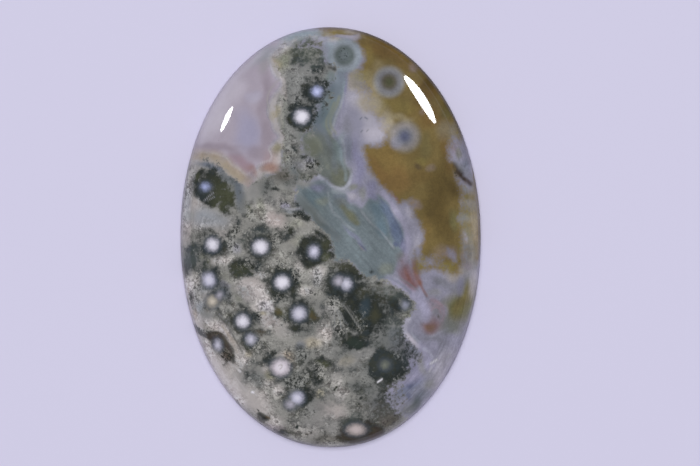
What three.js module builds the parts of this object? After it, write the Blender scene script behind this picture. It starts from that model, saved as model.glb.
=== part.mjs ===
// An oval cabochon of ocean jasper: one polished stone with a domed face, a narrow girdle and a flat back.
// Millimetres, +Z up. The origin is the middle of the flat back, the long axis lies along Y and the dome looks up.
import * as THREE from "three";

// Driving dimensions.
const LENGTH = 35.0;
const WIDTH = 25.0;
const THICKNESS = 5.8;
const GIRDLE_TOP = 1.7; // height of the line where the dome starts, above the back
const GIRDLE_LEAN = 0.22; // how far the girdle leans in by that line, so that a bezel can close over it
const BACK_BEVEL = 0.45; // the 45 degree bevel that keeps the back's edge from chipping
const EDGE_ROUNDING = 0.16; // how far polishing has softened each edge, along both of its sides

// A ground oval is a little fuller at its shoulders than an ellipse, for which this is 2.
const OVAL_FULLNESS = 2.06;

// The dome is flattest at its crown and turns down in a shoulder: a squarer section has larger numbers.
const CROWN_FLATNESS = 2.3;
const SHOULDER_FULLNESS = 1.55;
const DOME_REACH = 0.985; // the share of that section which is used, so that it meets the girdle in a soft line

// How finely the stone is faceted.
const FACETS_AROUND = 112;
const FACETS_UP_DOME = 24;
const FACETS_PER_EDGE = 3;

const DOME_HEIGHT = THICKNESS - GIRDLE_TOP;

// The oval's edge in the direction of an angle, as a point.
function outlinePoint(angle) {
  const across = Math.abs(Math.cos(angle)) ** OVAL_FULLNESS;
  const along = Math.abs(Math.sin(angle)) ** OVAL_FULLNESS;
  const reach = (across + along) ** (-1 / OVAL_FULLNESS);
  return new THREE.Vector2(
    (WIDTH / 2) * reach * Math.cos(angle),
    (LENGTH / 2) * reach * Math.sin(angle),
  );
}

// The direction square to the oval's edge at that point, outwards.
function outlineNormal(point) {
  const halfWidth = WIDTH / 2;
  const halfLength = LENGTH / 2;
  const power = OVAL_FULLNESS - 1;
  return new THREE.Vector2(
    (Math.sign(point.x) * Math.abs(point.x / halfWidth) ** power) / halfWidth,
    (Math.sign(point.y) * Math.abs(point.y / halfLength) ** power) / halfLength,
  ).normalize();
}

// Height of the dome above the girdle line, at a share of the way from the middle to that line.
function domeHeight(share) {
  const section = (t) =>
    (1 - (DOME_REACH * t) ** CROWN_FLATNESS) ** (1 / SHOULDER_FULLNESS);
  return (DOME_HEIGHT * (section(share) - section(1))) / (1 - section(1));
}

// The side of the stone as inset from the widest outline (x) against height (y), from the back's edge to the girdle line.
// Each edge is turned by a short curve, and the insets count from the widest point that the curves leave.
function sidePoints() {
  const backEdge = new THREE.Vector2(BACK_BEVEL, 0);
  const bevelTop = new THREE.Vector2(0, BACK_BEVEL);
  const girdleLine = new THREE.Vector2(GIRDLE_LEAN, GIRDLE_TOP);
  const backFlat = new THREE.Vector2(BACK_BEVEL + EDGE_ROUNDING, 0);
  const towards = (from, to) =>
    from.clone().add(to.clone().sub(from).setLength(EDGE_ROUNDING));
  const edges = [
    [backFlat, backEdge, towards(backEdge, bevelTop)],
    [towards(bevelTop, backEdge), bevelTop, towards(bevelTop, girdleLine)],
  ];
  const turned = edges.flatMap((edge) =>
    new THREE.QuadraticBezierCurve(...edge).getPoints(FACETS_PER_EDGE),
  );
  const side = [...turned, girdleLine];
  const groundAway = Math.min(...side.map((point) => point.x));
  return side.map((point) => new THREE.Vector2(point.x - groundAway, point.y));
}

// The half section from the middle of the back, round the side and over the dome to the crown.
// share scales the inset outline down towards the middle.
function halfSection() {
  const side = sidePoints().map((p) => ({ inset: p.x, height: p.y, share: 1 }));
  const backMiddle = { inset: side[0].inset, height: 0, share: 0 };
  const girdle = side[side.length - 1];
  const crown = { inset: girdle.inset, height: THICKNESS, share: 0 };
  const dome = [];
  for (let i = 1; i < FACETS_UP_DOME; i++) {
    // Equal steps of a quarter turn crowd the facets at the shoulder, where the dome turns fastest.
    const share = Math.cos((i / FACETS_UP_DOME) * (Math.PI / 2));
    const height = GIRDLE_TOP + domeHeight(share);
    dome.push({ inset: girdle.inset, height, share });
  }
  return [backMiddle, ...side, ...dome, crown];
}

// A lathe gives the rings and faces, and each ring is then laid on the oval at its inset and height.
function cabochonGeometry() {
  const section = halfSection();
  const turned = section.map(
    ({ share, inset, height }) =>
      new THREE.Vector2(share * (WIDTH / 2 - inset), height),
  );
  const geometry = new THREE.LatheGeometry(turned, FACETS_AROUND);
  const position = geometry.getAttribute("position");
  for (let column = 0; column <= FACETS_AROUND; column++) {
    const angle = ((column % FACETS_AROUND) / FACETS_AROUND) * 2 * Math.PI;
    const edge = outlinePoint(angle);
    const outwards = outlineNormal(edge);
    section.forEach(({ inset, height, share }, row) => {
      const x = share * (edge.x - inset * outwards.x);
      const y = share * (edge.y - inset * outwards.y);
      position.setXYZ(column * section.length + row, x, y, height);
    });
  }
  geometry.computeVertexNormals();
  return geometry;
}

function cabochon() {
  const polishedJasper = new THREE.MeshStandardMaterial({
    color: 0x8f9184,
    roughness: 0.08,
    metalness: 0,
  });
  const mesh = new THREE.Mesh(cabochonGeometry(), polishedJasper);
  mesh.name = "cabochon";
  return mesh;
}

const stone = new THREE.Group();
stone.add(cabochon());

export default stone;
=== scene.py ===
# A polished oval of ocean jasper, lying face up on a pale table under soft studio light.
# Sizes and places are in millimetres, and go to metres where a mesh, a lamp or the camera is made.
import math

import bpy
import numpy as np
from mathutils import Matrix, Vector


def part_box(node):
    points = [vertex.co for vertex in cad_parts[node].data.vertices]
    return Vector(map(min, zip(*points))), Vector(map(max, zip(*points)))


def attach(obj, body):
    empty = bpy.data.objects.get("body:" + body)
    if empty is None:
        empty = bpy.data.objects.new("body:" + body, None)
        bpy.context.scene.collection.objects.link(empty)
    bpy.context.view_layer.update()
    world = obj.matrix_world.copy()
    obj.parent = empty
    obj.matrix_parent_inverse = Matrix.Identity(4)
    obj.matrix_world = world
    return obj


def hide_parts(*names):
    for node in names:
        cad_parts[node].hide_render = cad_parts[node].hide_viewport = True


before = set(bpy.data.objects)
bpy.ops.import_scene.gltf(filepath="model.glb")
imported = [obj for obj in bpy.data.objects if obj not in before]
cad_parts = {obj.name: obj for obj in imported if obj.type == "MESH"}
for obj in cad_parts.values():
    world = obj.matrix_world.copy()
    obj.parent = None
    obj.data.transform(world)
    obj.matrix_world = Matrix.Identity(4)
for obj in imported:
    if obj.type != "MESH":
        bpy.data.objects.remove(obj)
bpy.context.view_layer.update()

MM = 0.001

# The stone's driving sizes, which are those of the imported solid.
low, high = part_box("cabochon")
WIDTH = (high.x - low.x) / MM
LENGTH = (high.y - low.y) / MM
THICKNESS = (high.z - low.z) / MM
GIRDLE_TOP = 1.7
GIRDLE_LEAN = 0.22
BACK_BEVEL = 0.45
EDGE_ROUNDING = 0.16
OVAL_FULLNESS = 2.06
CROWN_FLATNESS = 2.3
SHOULDER_FULLNESS = 1.55
DOME_REACH = 0.985
DOME_HEIGHT = THICKNESS - GIRDLE_TOP

# How finely the stone is meshed: the face carries its markings in its vertices, about 0.12 mm apart.
COLUMNS_AT_RIM = 832
RINGS_UP_DOME = 108
RINGS_ON_BACK = 34
COLUMNS_ON_BACK = 208
STEPS_PER_EDGE = 4
STEPS_UP_GIRDLE = 4

# The picture: 700 by 466 pixels, seen from straight above, with the stone's middle at a pixel of its own and
# the stone a little turned. It has 12 pixels to the millimetre at the height where the stone is widest.
PICTURE_WIDTH = 700
PICTURE_HEIGHT = 466
PIXELS_PER_MM = 12.0
STONE_PIXEL = (330.6, 237.25)
STONE_TURN = math.radians(0.63)
LENS_MM = 160.0
SENSOR_MM = 36.0
WIDEST_HEIGHT = 0.5

# The camera's distance from that height, and how near and how far it sees, in mm.
SIGHT = LENS_MM / SENSOR_MM * PICTURE_WIDTH / PIXELS_PER_MM
NEAREST_SEEN = 10
FARTHEST_SEEN = 10000

# How far the markings lean as they go down into the stone, for each mm of depth.
MARKING_SLANT = (0.25, -0.12)

# An outline's curve has this many steps from point to point.
OUTLINE_STEPS = 6

# Ovals fade out between these shares of their radius, and lines between these shares of half their width.
OVAL_EDGE = (0.35, 1.5)
STREAK_EDGE = (0.2, 1.6)

# A random field of waves bends the ovals. Its waves' lengths are in mm.
WANDER_SEED = 11
WANDER_WAVES = 28
WANDER_LENGTHS = (0.9, 3.6)
WANDER_STEEPNESS = 0.017

# Streaks are present this much on average, and more or less where the random field pushes, for each mm.
STREAK_PRESENCE = 0.85
STREAK_PATCHINESS = 2.5
LEAST_PRESENCE = 0.3

# Half the width of a soft edge, in mm: of the bodies of glass, of the clear rings and of the pocket's rim.
BODY_SOFTNESS = 0.2
RING_SOFTNESS = 0.27
RIM_SOFTNESS = 0.1

# Where things fade in, in mm from an edge: the agate and its calm inside the pocket, the fibres inside the
# blue glass, and the polish above the girdle's top. The agate's calm is never whole.
AGATE_EDGE = (-0.06, 0.08)
AGATE_CALM_EDGE = (-0.2, 0.3)
AGATE_CALM = 0.8
FIBROUS_EDGE = (-0.5, 0.5)
POLISH_EDGE = (-0.05, 0.1)

# How thickly moss grows where no mark says otherwise, and where its dark ring round an eye fades out, as
# shares of the ring's radius. Where moss is cleared, the ground pales so many times as fast as it thins.
OPEN_GROWTH = 0.36
MOSS_RING_EDGE = (0.65, 1.65)
PALING = 2.5

# An eye's depth at places that are far from every eye.
FAR_FROM_EYES = -9.0

# The stone's textures: name, size in mm, detail, roughness and the places it is grown on. Real moss has
# threads of some 0.05 mm, which are drawn twice as coarse to show in the picture.
TEXTURES = [
    ("clouds", 2.6, 2.0, 0.5, "stone"),
    ("tufts", 1.1, 4.0, 0.6, "stone"),
    ("fronds", 0.42, 4.0, 0.62, "stone"),
    ("threads", 0.18, 3.0, 0.6, "stone"),
    ("grains", 0.12, 2.0, 0.6, "stone"),
    ("fibres", 0.4, 4.0, 0.6, "along_glass"),
    ("rim_fibres", 0.18, 4.0, 0.6, "along_rim"),
]
TEXTURE_MEAN = 0.5

# The blue glass is drawn out into fibres along its length, and the stone's edge into streaks along it:
# the fibres' turn in degrees, and how long both are for their width.
FIBRE_TURN = -47
FIBRE_STRETCH = 9
RIM_FIBRE_STRETCH = 10

# Flecks are so much lighter than the ground they lie in, up to a lightest one.
FLECK_GAIN = 1.6
LIGHTEST_FLECK = 0.6

# Flakes of chlorite, each of an even shade, and their size in mm.
FLAKE_SIZE = 0.3

# Covers: the carried value that each grows from, how strongly each texture tears its edge, and where it
# starts and is full.
COVERS = {
    "field": ("moss", {"fronds": 1.0, "threads": 0.6}, -0.12, 0.22),
    "ochre": ("ochre", {"tufts": 0.7, "fronds": 0.7, "threads": 0.4}, -0.32, 0.4),
    "veil": ("moss_growth", {"tufts": 0.8}, 0.25, 1.0),
    "moss": ("moss_growth", {"tufts": 2.0, "fronds": 1.7, "threads": 0.9, "flakes": 0.4}, 0.15, 1.0),
    "mottle": (None, {"clouds": 1.0, "tufts": 1.4, "fronds": 0.8}, 0.02, 0.3),
    "dapple": (None, {"clouds": -1.0, "tufts": 1.4, "fronds": -0.8}, 0.05, 0.35),
    "veins": ("busy", {"veins": -7.0}, 0.2, 0.7),
    "flecks": (None, {"tufts": 1.2, "fronds": 1.6, "flakes": 0.4}, 0.08, 0.42),
    "sparse": ("moss_growth", {"tufts": 0.6}, 0.9, 0.5),
    "specks": ("busy", {"threads": 2.4, "flakes": 1.0}, 0.85, 1.15),
    "chips": ("busy", {"threads": -2.4, "flakes": -1.0}, 0.85, 1.2),
    "grit": (None, {"fronds": 0.8, "threads": 1.4, "grains": 0.8, "flakes": 0.5}, -0.36, 0.36),
    "granular": (None, {"clouds": 1.0, "tufts": 1.6}, -0.22, 0.25),
    "cloudiness": (None, {"clouds": 1.0, "tufts": 0.3}, -0.25, 0.25),
    "fibre_light": (None, {"fibres": 1.0}, -0.2, 0.2),
    "rim_light": (None, {"rim_fibres": 1.0}, -0.2, 0.2),
    "eye_shade": ("eye_depth", {"fronds": 0.35, "threads": 0.3}, -0.55, -0.12),
    "eye": ("eye_depth", {"fronds": 0.3, "threads": 0.3}, -0.3, 0.3),
    "eye_core": ("eye_depth", {"fronds": 0.25, "threads": 0.15}, 0.08, 0.5),
}

# Layers of the body from the lowest up, with painted light and shade on the girdle last: the hue or cover
# laid on, where, how strongly and how it blends.
LAYERS = [
    ("ochre_body", ["ochre"], 1.0, "MIX"),
    ("fibre_light", ["fibrous"], 0.12, "OVERLAY"),
    ("ground", ["field"], 1.0, "MIX"),
    ("smoke", ["field", "veil"], 0.6, "MIX"),
    ("grit", ["field", "granular", "rough"], 0.8, "OVERLAY"),
    ("bone", ["field", "mottle"], 0.25, "MIX"),
    ("smoke", ["field", "dapple"], 0.35, "MIX"),
    ("moss_tint", ["field", "moss"], 0.95, "MIX"),
    ("moss_brown", ["field", "moss", "mottle"], 0.4, "MIX"),
    ("moss_blue", ["field", "moss", "dapple"], 0.5, "MIX"),
    ("fleck_tint", ["field", "veins", "rough"], 0.45, "MIX"),
    ("fleck_tint", ["field", "flecks", "sparse", "rough"], 0.65, "MIX"),
    ("fleck_tint", ["field", "chips"], 0.6, "MIX"),
    ("coal", ["specks"], 0.75, "MIX"),
    ("cloudiness", ["rough"], 0.17, "OVERLAY"),
    ("grit", ["rough"], 0.09, "OVERLAY"),
    ("rim_light", ["rim_streaked"], 0.17, "OVERLAY"),
    ("eye_shade_hue", ["eye_shade"], 0.6, "MIX"),
    ("eye_colour", ["eye"], 1.0, "MIX"),
    ("white", ["eye_core"], 0.4, "OVERLAY"),
    ("fine_marks", ["fine_marks"], 1.0, "MIX"),
    # Painted light and shade on the sanded girdle. Pearl pales it, partly because sanded stone looks paler
    # and partly as painted light against the shade on its upright sides. Umber is painted shade that darkens
    # it where the ochre reaches the edge.
    ("pearl", ["sanded"], 0.2, "SCREEN"),
    ("umber", ["sanded", "ochre"], 0.55, "MIX"),
]

# Chalcedony's refraction, and what polish and sanding give: the shader's setting on the dome, and below it.
CHALCEDONY_IOR = 1.54
FINISHES = {"Roughness": (0.04, 0.45), "Specular IOR Level": (0.5, 0.2)}

# The table top, and the matt finish that it and the card have.
TABLE_HALF = 1500
TABLE_GAP = 0.01
TABLE_COLOUR = "#D5D2E8"
MATT_FINISH = {"Roughness": 0.9, "Specular IOR Level": 0.1}

# The dark card: between which angles it goes round the oval, and how near, how far out and how high it lies.
CARD_ANGLES = (20, 80)
CARD_STEPS = 24
CARD_GAP = 0.4
CARD_REACH = 60
CARD_HEIGHT = 0.1
CARD_COLOUR = "#4A4238"

# The lamps: name, azimuth, elevation, distance, width, height, radiance, shape, and whether the gloss and
# the body see it.
LAMPS = [
    ("right_soft_box", 39.5, 21, 500, 165, 100, 25, "ELLIPSE", True, False),
    ("left_soft_box", 148.5, 21, 500, 70, 50, 25, "ELLIPSE", True, False),
    ("overhead_diffuser", 100, 84, 900, 400, 400, 12.2, "SQUARE", False, True),
]
WALL_COLOUR = "#E4E2EE"
WALL_STRENGTH = 0.3

# The stone's colours, as the face shows them.
HUES = {
    "white": "#F0EEF4",
    "white_eye": "#DEDBE6",
    "hazy_eye": "#C4C3D6",
    "pale_eye": "#BDBCCB",
    "grey_eye": "#9497A8",
    "dull_eye": "#6F7368",
    "honeyed_eye": "#BDB5A6",
    "shell_eye": "#CFC6CE",
    "blue_eye": "#B9C0E8",
    "dim_blue_eye": "#A0A9D0",
    "eye_shade_hue": "#474F58",
    "milk": "#A8A5B0",
    "pearl": "#B8B1BD",
    "lavender": "#9E9BB2",
    "lilac": "#8C8B9B",
    "heather": "#807F9A",
    "periwinkle": "#767C97",
    "mauve": "#ABA2AE",
    "rose": "#98818A",
    "plum": "#8B7F88",
    "mist": "#959AA0",
    "pewter": "#77787F",
    "dusk": "#5B5A64",
    "slate": "#6D7480",
    "ink_blue": "#535A74",
    "denim": "#5E6B8A",
    "teal": "#60747F",
    "sea": "#6B797A",
    "aqua": "#87959C",
    "orb_green": "#525C58",
    "orb_grey": "#717A7E",
    "orb_brown": "#554F3D",
    "orb_blue": "#4C5270",
    "deep_sea": "#55646A",
    "green_glass": "#646A66",
    "glass_blue": "#6D787C",
    "ochre": "#74643A",
    "sage": "#7F8272",
    "olive": "#6E6D48",
    "mustard": "#807540",
    "honey": "#7A6437",
    "amber": "#7D6238",
    "toffee": "#6C552C",
    "umber": "#554622",
    "straw": "#A2987A",
    "tan": "#A3937C",
    "rust": "#7B5142",
    "brick": "#784E4A",
    "bark": "#382B1E",
    "peat": "#4C463B",
    "bottle": "#161E19",
    "soot": "#1E2522",
    "moss_olive": "#45492F",
    "moss_brown": "#3A3B28",
    "umber_moss": "#3F352E",
    "moss_blue": "#343E42",
    "deep_moss": "#1F2D24",
    "deep_teal": "#2A3A42",
    "cream": "#B8B2AE",
    "chalk": "#C9C3C2",
    "frost": "#B2B4C2",
    "biscuit": "#A39483",
    "opal": "#C6C0CB",
    "clay": "#8F6E60",
    "coal": "#181C19",
    "bone": "#A89F99",
    "shell": "#B2A7A3",
    "fog": "#8C8C89",
    "ground_grey": "#96958F",
    "smoke": "#6C6F6D",
    "spruce": "#4A5350",
}

# All marks are read in millimetres from the stone's middle as the picture shows it: across to the right,
# and up. These are the outlines of the stone's fields.
AGATE_POCKET = [
    (-3.6, 17.6), (-4.2, 16.3), (-4.6, 15.7), (-5.0, 15.3), (-5.2, 14.9), (-5.05, 14.2), (-4.9, 13.7),
    (-4.55, 13.2), (-4.2, 12.95), (-4.3, 12.5), (-4.9, 11.8), (-5.25, 11.1), (-5.3, 10.3), (-5.0, 9.6),
    (-4.85, 8.9), (-4.4, 8.4), (-4.75, 8.0), (-5.2, 7.5), (-5.0, 6.8), (-5.15, 6.25), (-5.9, 6.05),
    (-6.4, 5.6), (-6.95, 5.1), (-7.5, 5.7), (-8.05, 5.95), (-8.3, 6.4), (-8.9, 6.85), (-10.0, 7.1),
    (-11.0, 7.1), (-13.5, 7.3), (-14.0, 12.0), (-9.0, 18.5),
]
MOSS_FIELD = [
    (-4.8, 15.2), (-4.1, 16.0), (-2.9, 16.3), (-1.9, 16.7), (-0.9, 16.3), (-0.7, 15.6), (-0.5, 15.0),
    (0.0, 14.45), (0.6, 14.3), (0.5, 13.4), (0.1, 12.7), (0.1, 11.8), (-0.5, 10.9), (-1.0, 10.2),
    (-1.3, 9.2), (-2.2, 8.5), (-2.4, 7.6), (-1.75, 6.85), (-1.0, 6.55), (-0.75, 5.8), (-1.1, 5.2),
    (-1.8, 4.7), (-2.5, 4.1), (-2.9, 3.3), (-2.4, 2.4), (-1.5, 1.6), (-1.0, 0.9), (-0.2, 0.3), (0.3, -0.8),
    (0.4, -1.8), (1.4, -1.8), (2.1, -2.5), (2.8, -3.2), (3.8, -3.3), (4.5, -3.6), (5.3, -4.0), (6.0, -4.4),
    (6.7, -4.9), (7.1, -5.6), (6.9, -6.3), (6.2, -6.8), (6.1, -7.5), (6.2, -8.1), (6.6, -8.6), (7.1, -9.2),
    (7.6, -9.8), (6.9, -10.4), (6.6, -11.2), (6.1, -11.9), (5.2, -12.6), (5.0, -13.4), (5.6, -14.2),
    (6.2, -14.8), (7.0, -16.0), (4.0, -18.5), (-6.0, -18.5), (-14.0, -10.0), (-14.0, 4.0), (-13.0, 6.4),
    (-11.3, 6.4), (-10.2, 6.4), (-9.1, 5.9), (-8.3, 5.2), (-7.5, 4.6), (-6.8, 4.3), (-6.2, 4.8),
    (-5.6, 5.2), (-4.7, 5.4), (-4.0, 6.2), (-4.1, 7.3), (-4.0, 8.4), (-4.3, 9.3), (-4.7, 10.2),
    (-4.6, 11.2), (-4.0, 12.1), (-3.9, 12.7), (-4.0, 13.4), (-4.6, 14.2),
]
GREEN_GLASS = [
    (-1.4, 9.0), (-0.6, 9.4), (0.1, 9.2), (0.4, 8.6), (0.7, 8.0), (1.05, 7.4), (1.15, 6.7), (1.3, 6.1),
    (1.65, 5.6), (1.75, 5.1), (1.55, 4.4), (0.9, 4.05), (0.2, 4.3), (-0.4, 4.75), (-1.0, 5.2), (-1.4, 6.0),
    (-1.9, 6.8), (-2.4, 7.6), (-2.0, 8.6),
]
BLUE_GLASS = [
    (-2.7, 4.5), (-1.8, 4.6), (-0.8, 4.8), (0.0, 4.4), (0.9, 4.0), (1.3, 3.7), (1.2, 3.3), (1.6, 2.9),
    (2.5, 2.6), (3.0, 2.9), (3.8, 3.4), (4.3, 3.5), (4.8, 2.9), (5.3, 1.9), (5.9, 0.9), (6.3, 0.0),
    (6.35, -0.8), (6.1, -1.6), (5.5, -2.3), (5.2, -3.0), (4.6, -3.5), (3.8, -3.4), (2.8, -3.3), (2.1, -2.6),
    (1.5, -1.9), (0.3, -2.0), (0.1, -0.8), (-0.4, 0.1), (-1.1, 0.7), (-1.6, 1.6), (-2.4, 2.3), (-2.9, 3.2),
]
OCHRE_BODY = [
    (-0.6, 19.5), (-0.8, 17.3), (0.2, 16.9), (1.0, 17.1), (2.2, 17.0), (2.2, 16.5), (1.9, 16.2),
    (2.5, 15.7), (2.8, 14.9), (2.6, 14.2), (1.9, 13.7), (1.8, 13.1), (2.4, 12.4), (3.0, 11.8), (3.0, 11.1),
    (3.4, 10.6), (3.9, 10.0), (4.25, 9.3), (4.55, 8.6), (4.4, 7.9), (3.7, 7.65), (2.9, 7.6), (2.8, 6.9),
    (3.0, 6.1), (3.4, 5.3), (4.1, 4.4), (4.9, 3.7), (5.4, 3.1), (5.8, 2.8), (6.4, 2.9), (6.8, 2.4),
    (7.0, 1.7), (7.4, 1.1), (7.7, 0.3), (7.6, -0.5), (7.1, -1.2), (6.95, -2.2), (7.3, -2.9), (8.0, -2.8),
    (8.7, -2.5), (9.3, -2.9), (10.3, -3.1), (10.7, -2.9), (11.1, -2.1), (11.4, -1.4), (12.0, -0.7),
    (13.5, -0.4), (13.5, 3.6), (12.2, 3.8), (11.4, 3.6), (10.9, 4.2), (10.5, 5.0), (10.3, 5.9), (9.95, 6.7),
    (9.9, 7.3), (10.2, 8.0), (10.8, 8.3), (11.6, 8.3), (15.0, 9.0), (11.0, 17.0), (4.0, 19.5),
]

# The clear stone's bodies of glass, each laid over those before it, with their hues.
GLASS_BODIES = [(BLUE_GLASS, "glass_blue"), (GREEN_GLASS, "green_glass")]

# Islands of ochre outside its body, and holes in it: across, up, half sizes and turn in degrees.
OCHRE_ISLANDS = [
    (1.3, 17.1, 1.6, 0.25, 0), (12.2, 4.4, 0.3, 1.2, 0), (12.3, -0.9, 0.35, 1.2, 0),
    (9.0, -2.2, 1.4, 0.5, 0),
]
OCHRE_HOLES = [
    (11.6, 2.7, 0.45, 0.35, 0), (11.35, 1.55, 0.4, 0.22, 0), (11.5, -0.4, 0.35, 0.75, 10),
    (7.3, -1.2, 0.25, 0.5, 0), (11.9, -1.3, 0.3, 0.4, 0), (10.25, -1.6, 0.16, 0.4, 30),
    (8.3, -2.1, 0.3, 0.2, 0),
]

# Orbs of clear rings: across, up, and the hue, radius and strength of each ring from the outside in.
RING_ORBS = [
    (1.2, 15.15, [
        ("aqua", 1.4, 0.8), ("mist", 1.2, 0.5), ("orb_green", 0.86, 0.9), ("orb_grey", 0.45, 0.6),
    ]),
    (4.9, 12.95, [
        ("mist", 1.3, 0.6), ("pewter", 1.05, 0.8), ("orb_brown", 0.68, 0.9), ("moss_olive", 0.35, 0.8),
    ]),
    (5.5, 7.9, [("heather", 0.5, 0.6), ("slate", 0.25, 0.3)]),
    (6.2, 8.4, [
        ("mist", 1.35, 0.3), ("milk", 1.1, 0.35), ("slate", 0.75, 0.6), ("orb_blue", 0.45, 0.6),
        ("orb_blue", 0.25, 0.4),
    ]),
]

# The pale rim outside the agate pocket: hue, where it starts and ends from the pocket's edge, and strength.
POCKET_RIM = [
    ("sage", -1.3, -0.8, 0.4),
    ("cream", -0.9, -0.2, 0.75),
    ("chalk", -0.18, -0.02, 0.5),
]

# Orbs of the moss: the eye's hue, across, up, half sizes and turn, and the dark ring's radius and weight.
ORBS = [
    ("blue_eye", -1.1, 12.15, 0.36, 0.36, 0, 0.95, 0.6),
    ("white_eye", -2.38, 10.05, 0.53, 0.51, 0, 0.82, 0.9),
    ("dim_blue_eye", -10.4, 4.2, 0.32, 0.28, 0, 1.0, 0.6),
    ("white_eye", -9.8, -0.6, 0.46, 0.47, 0, 1.1, 0.44),
    ("white_eye", -5.8, -0.8, 0.54, 0.50, 0, 1.15, 0.42),
    ("hazy_eye", -1.35, -1.2, 0.38, 0.42, 0, 1.15, 0.8),
    ("hazy_eye", -10.1, -3.55, 0.46, 0.54, 20, 0.9, 0.45),
    ("white_eye", -4.0, -3.75, 0.52, 0.50, 0, 1.25, 0.6),
    ("milk", 0.74, -3.66, 0.38, 0.36, 0, 1.1, 0.6),
    ("pale_eye", 1.34, -3.88, 0.4, 0.42, 0, 1.5, 0.6),
    ("pale_eye", -2.6, -6.35, 0.54, 0.52, 0, 1.05, 0.56),
    ("white_eye", -7.3, -7.0, 0.45, 0.47, 0, 1.05, 0.42),
    ("pale_eye", -6.62, -8.5, 0.34, 0.34, 0, 0.85, 0.4),
    ("pale_eye", -9.38, -8.97, 0.27, 0.38, 10, 0.4, 0.3),
    ("shell_eye", -4.15, -10.85, 0.7, 0.64, 0, 1.0, 0.18),
    ("hazy_eye", -2.75, -13.4, 0.48, 0.46, 0, 1.15, 0.36),
    ("milk", -3.32, -13.92, 0.34, 0.30, 0, 0.7, 0.3),
    ("dull_eye", 4.58, -10.65, 0.3, 0.3, 0, 1.1, 1.1),
    ("grey_eye", 6.25, -5.65, 0.2, 0.22, 0, 0.4, 0.2),
    ("shell", 2.15, -16.05, 0.72, 0.45, 0, 1.15, 0.68),
    ("honeyed_eye", -9.85, -5.35, 0.36, 0.4, 0, 0.6, 0.2),
    ("milk", -9.25, -4.85, 0.2, 0.26, -30, 0.5, 0.2),
]

# Soft ovals are given as across, up, half their length and width, turn in degrees, and a last number.
# Where the order is free, they are listed from the top of the stone down.

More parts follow.
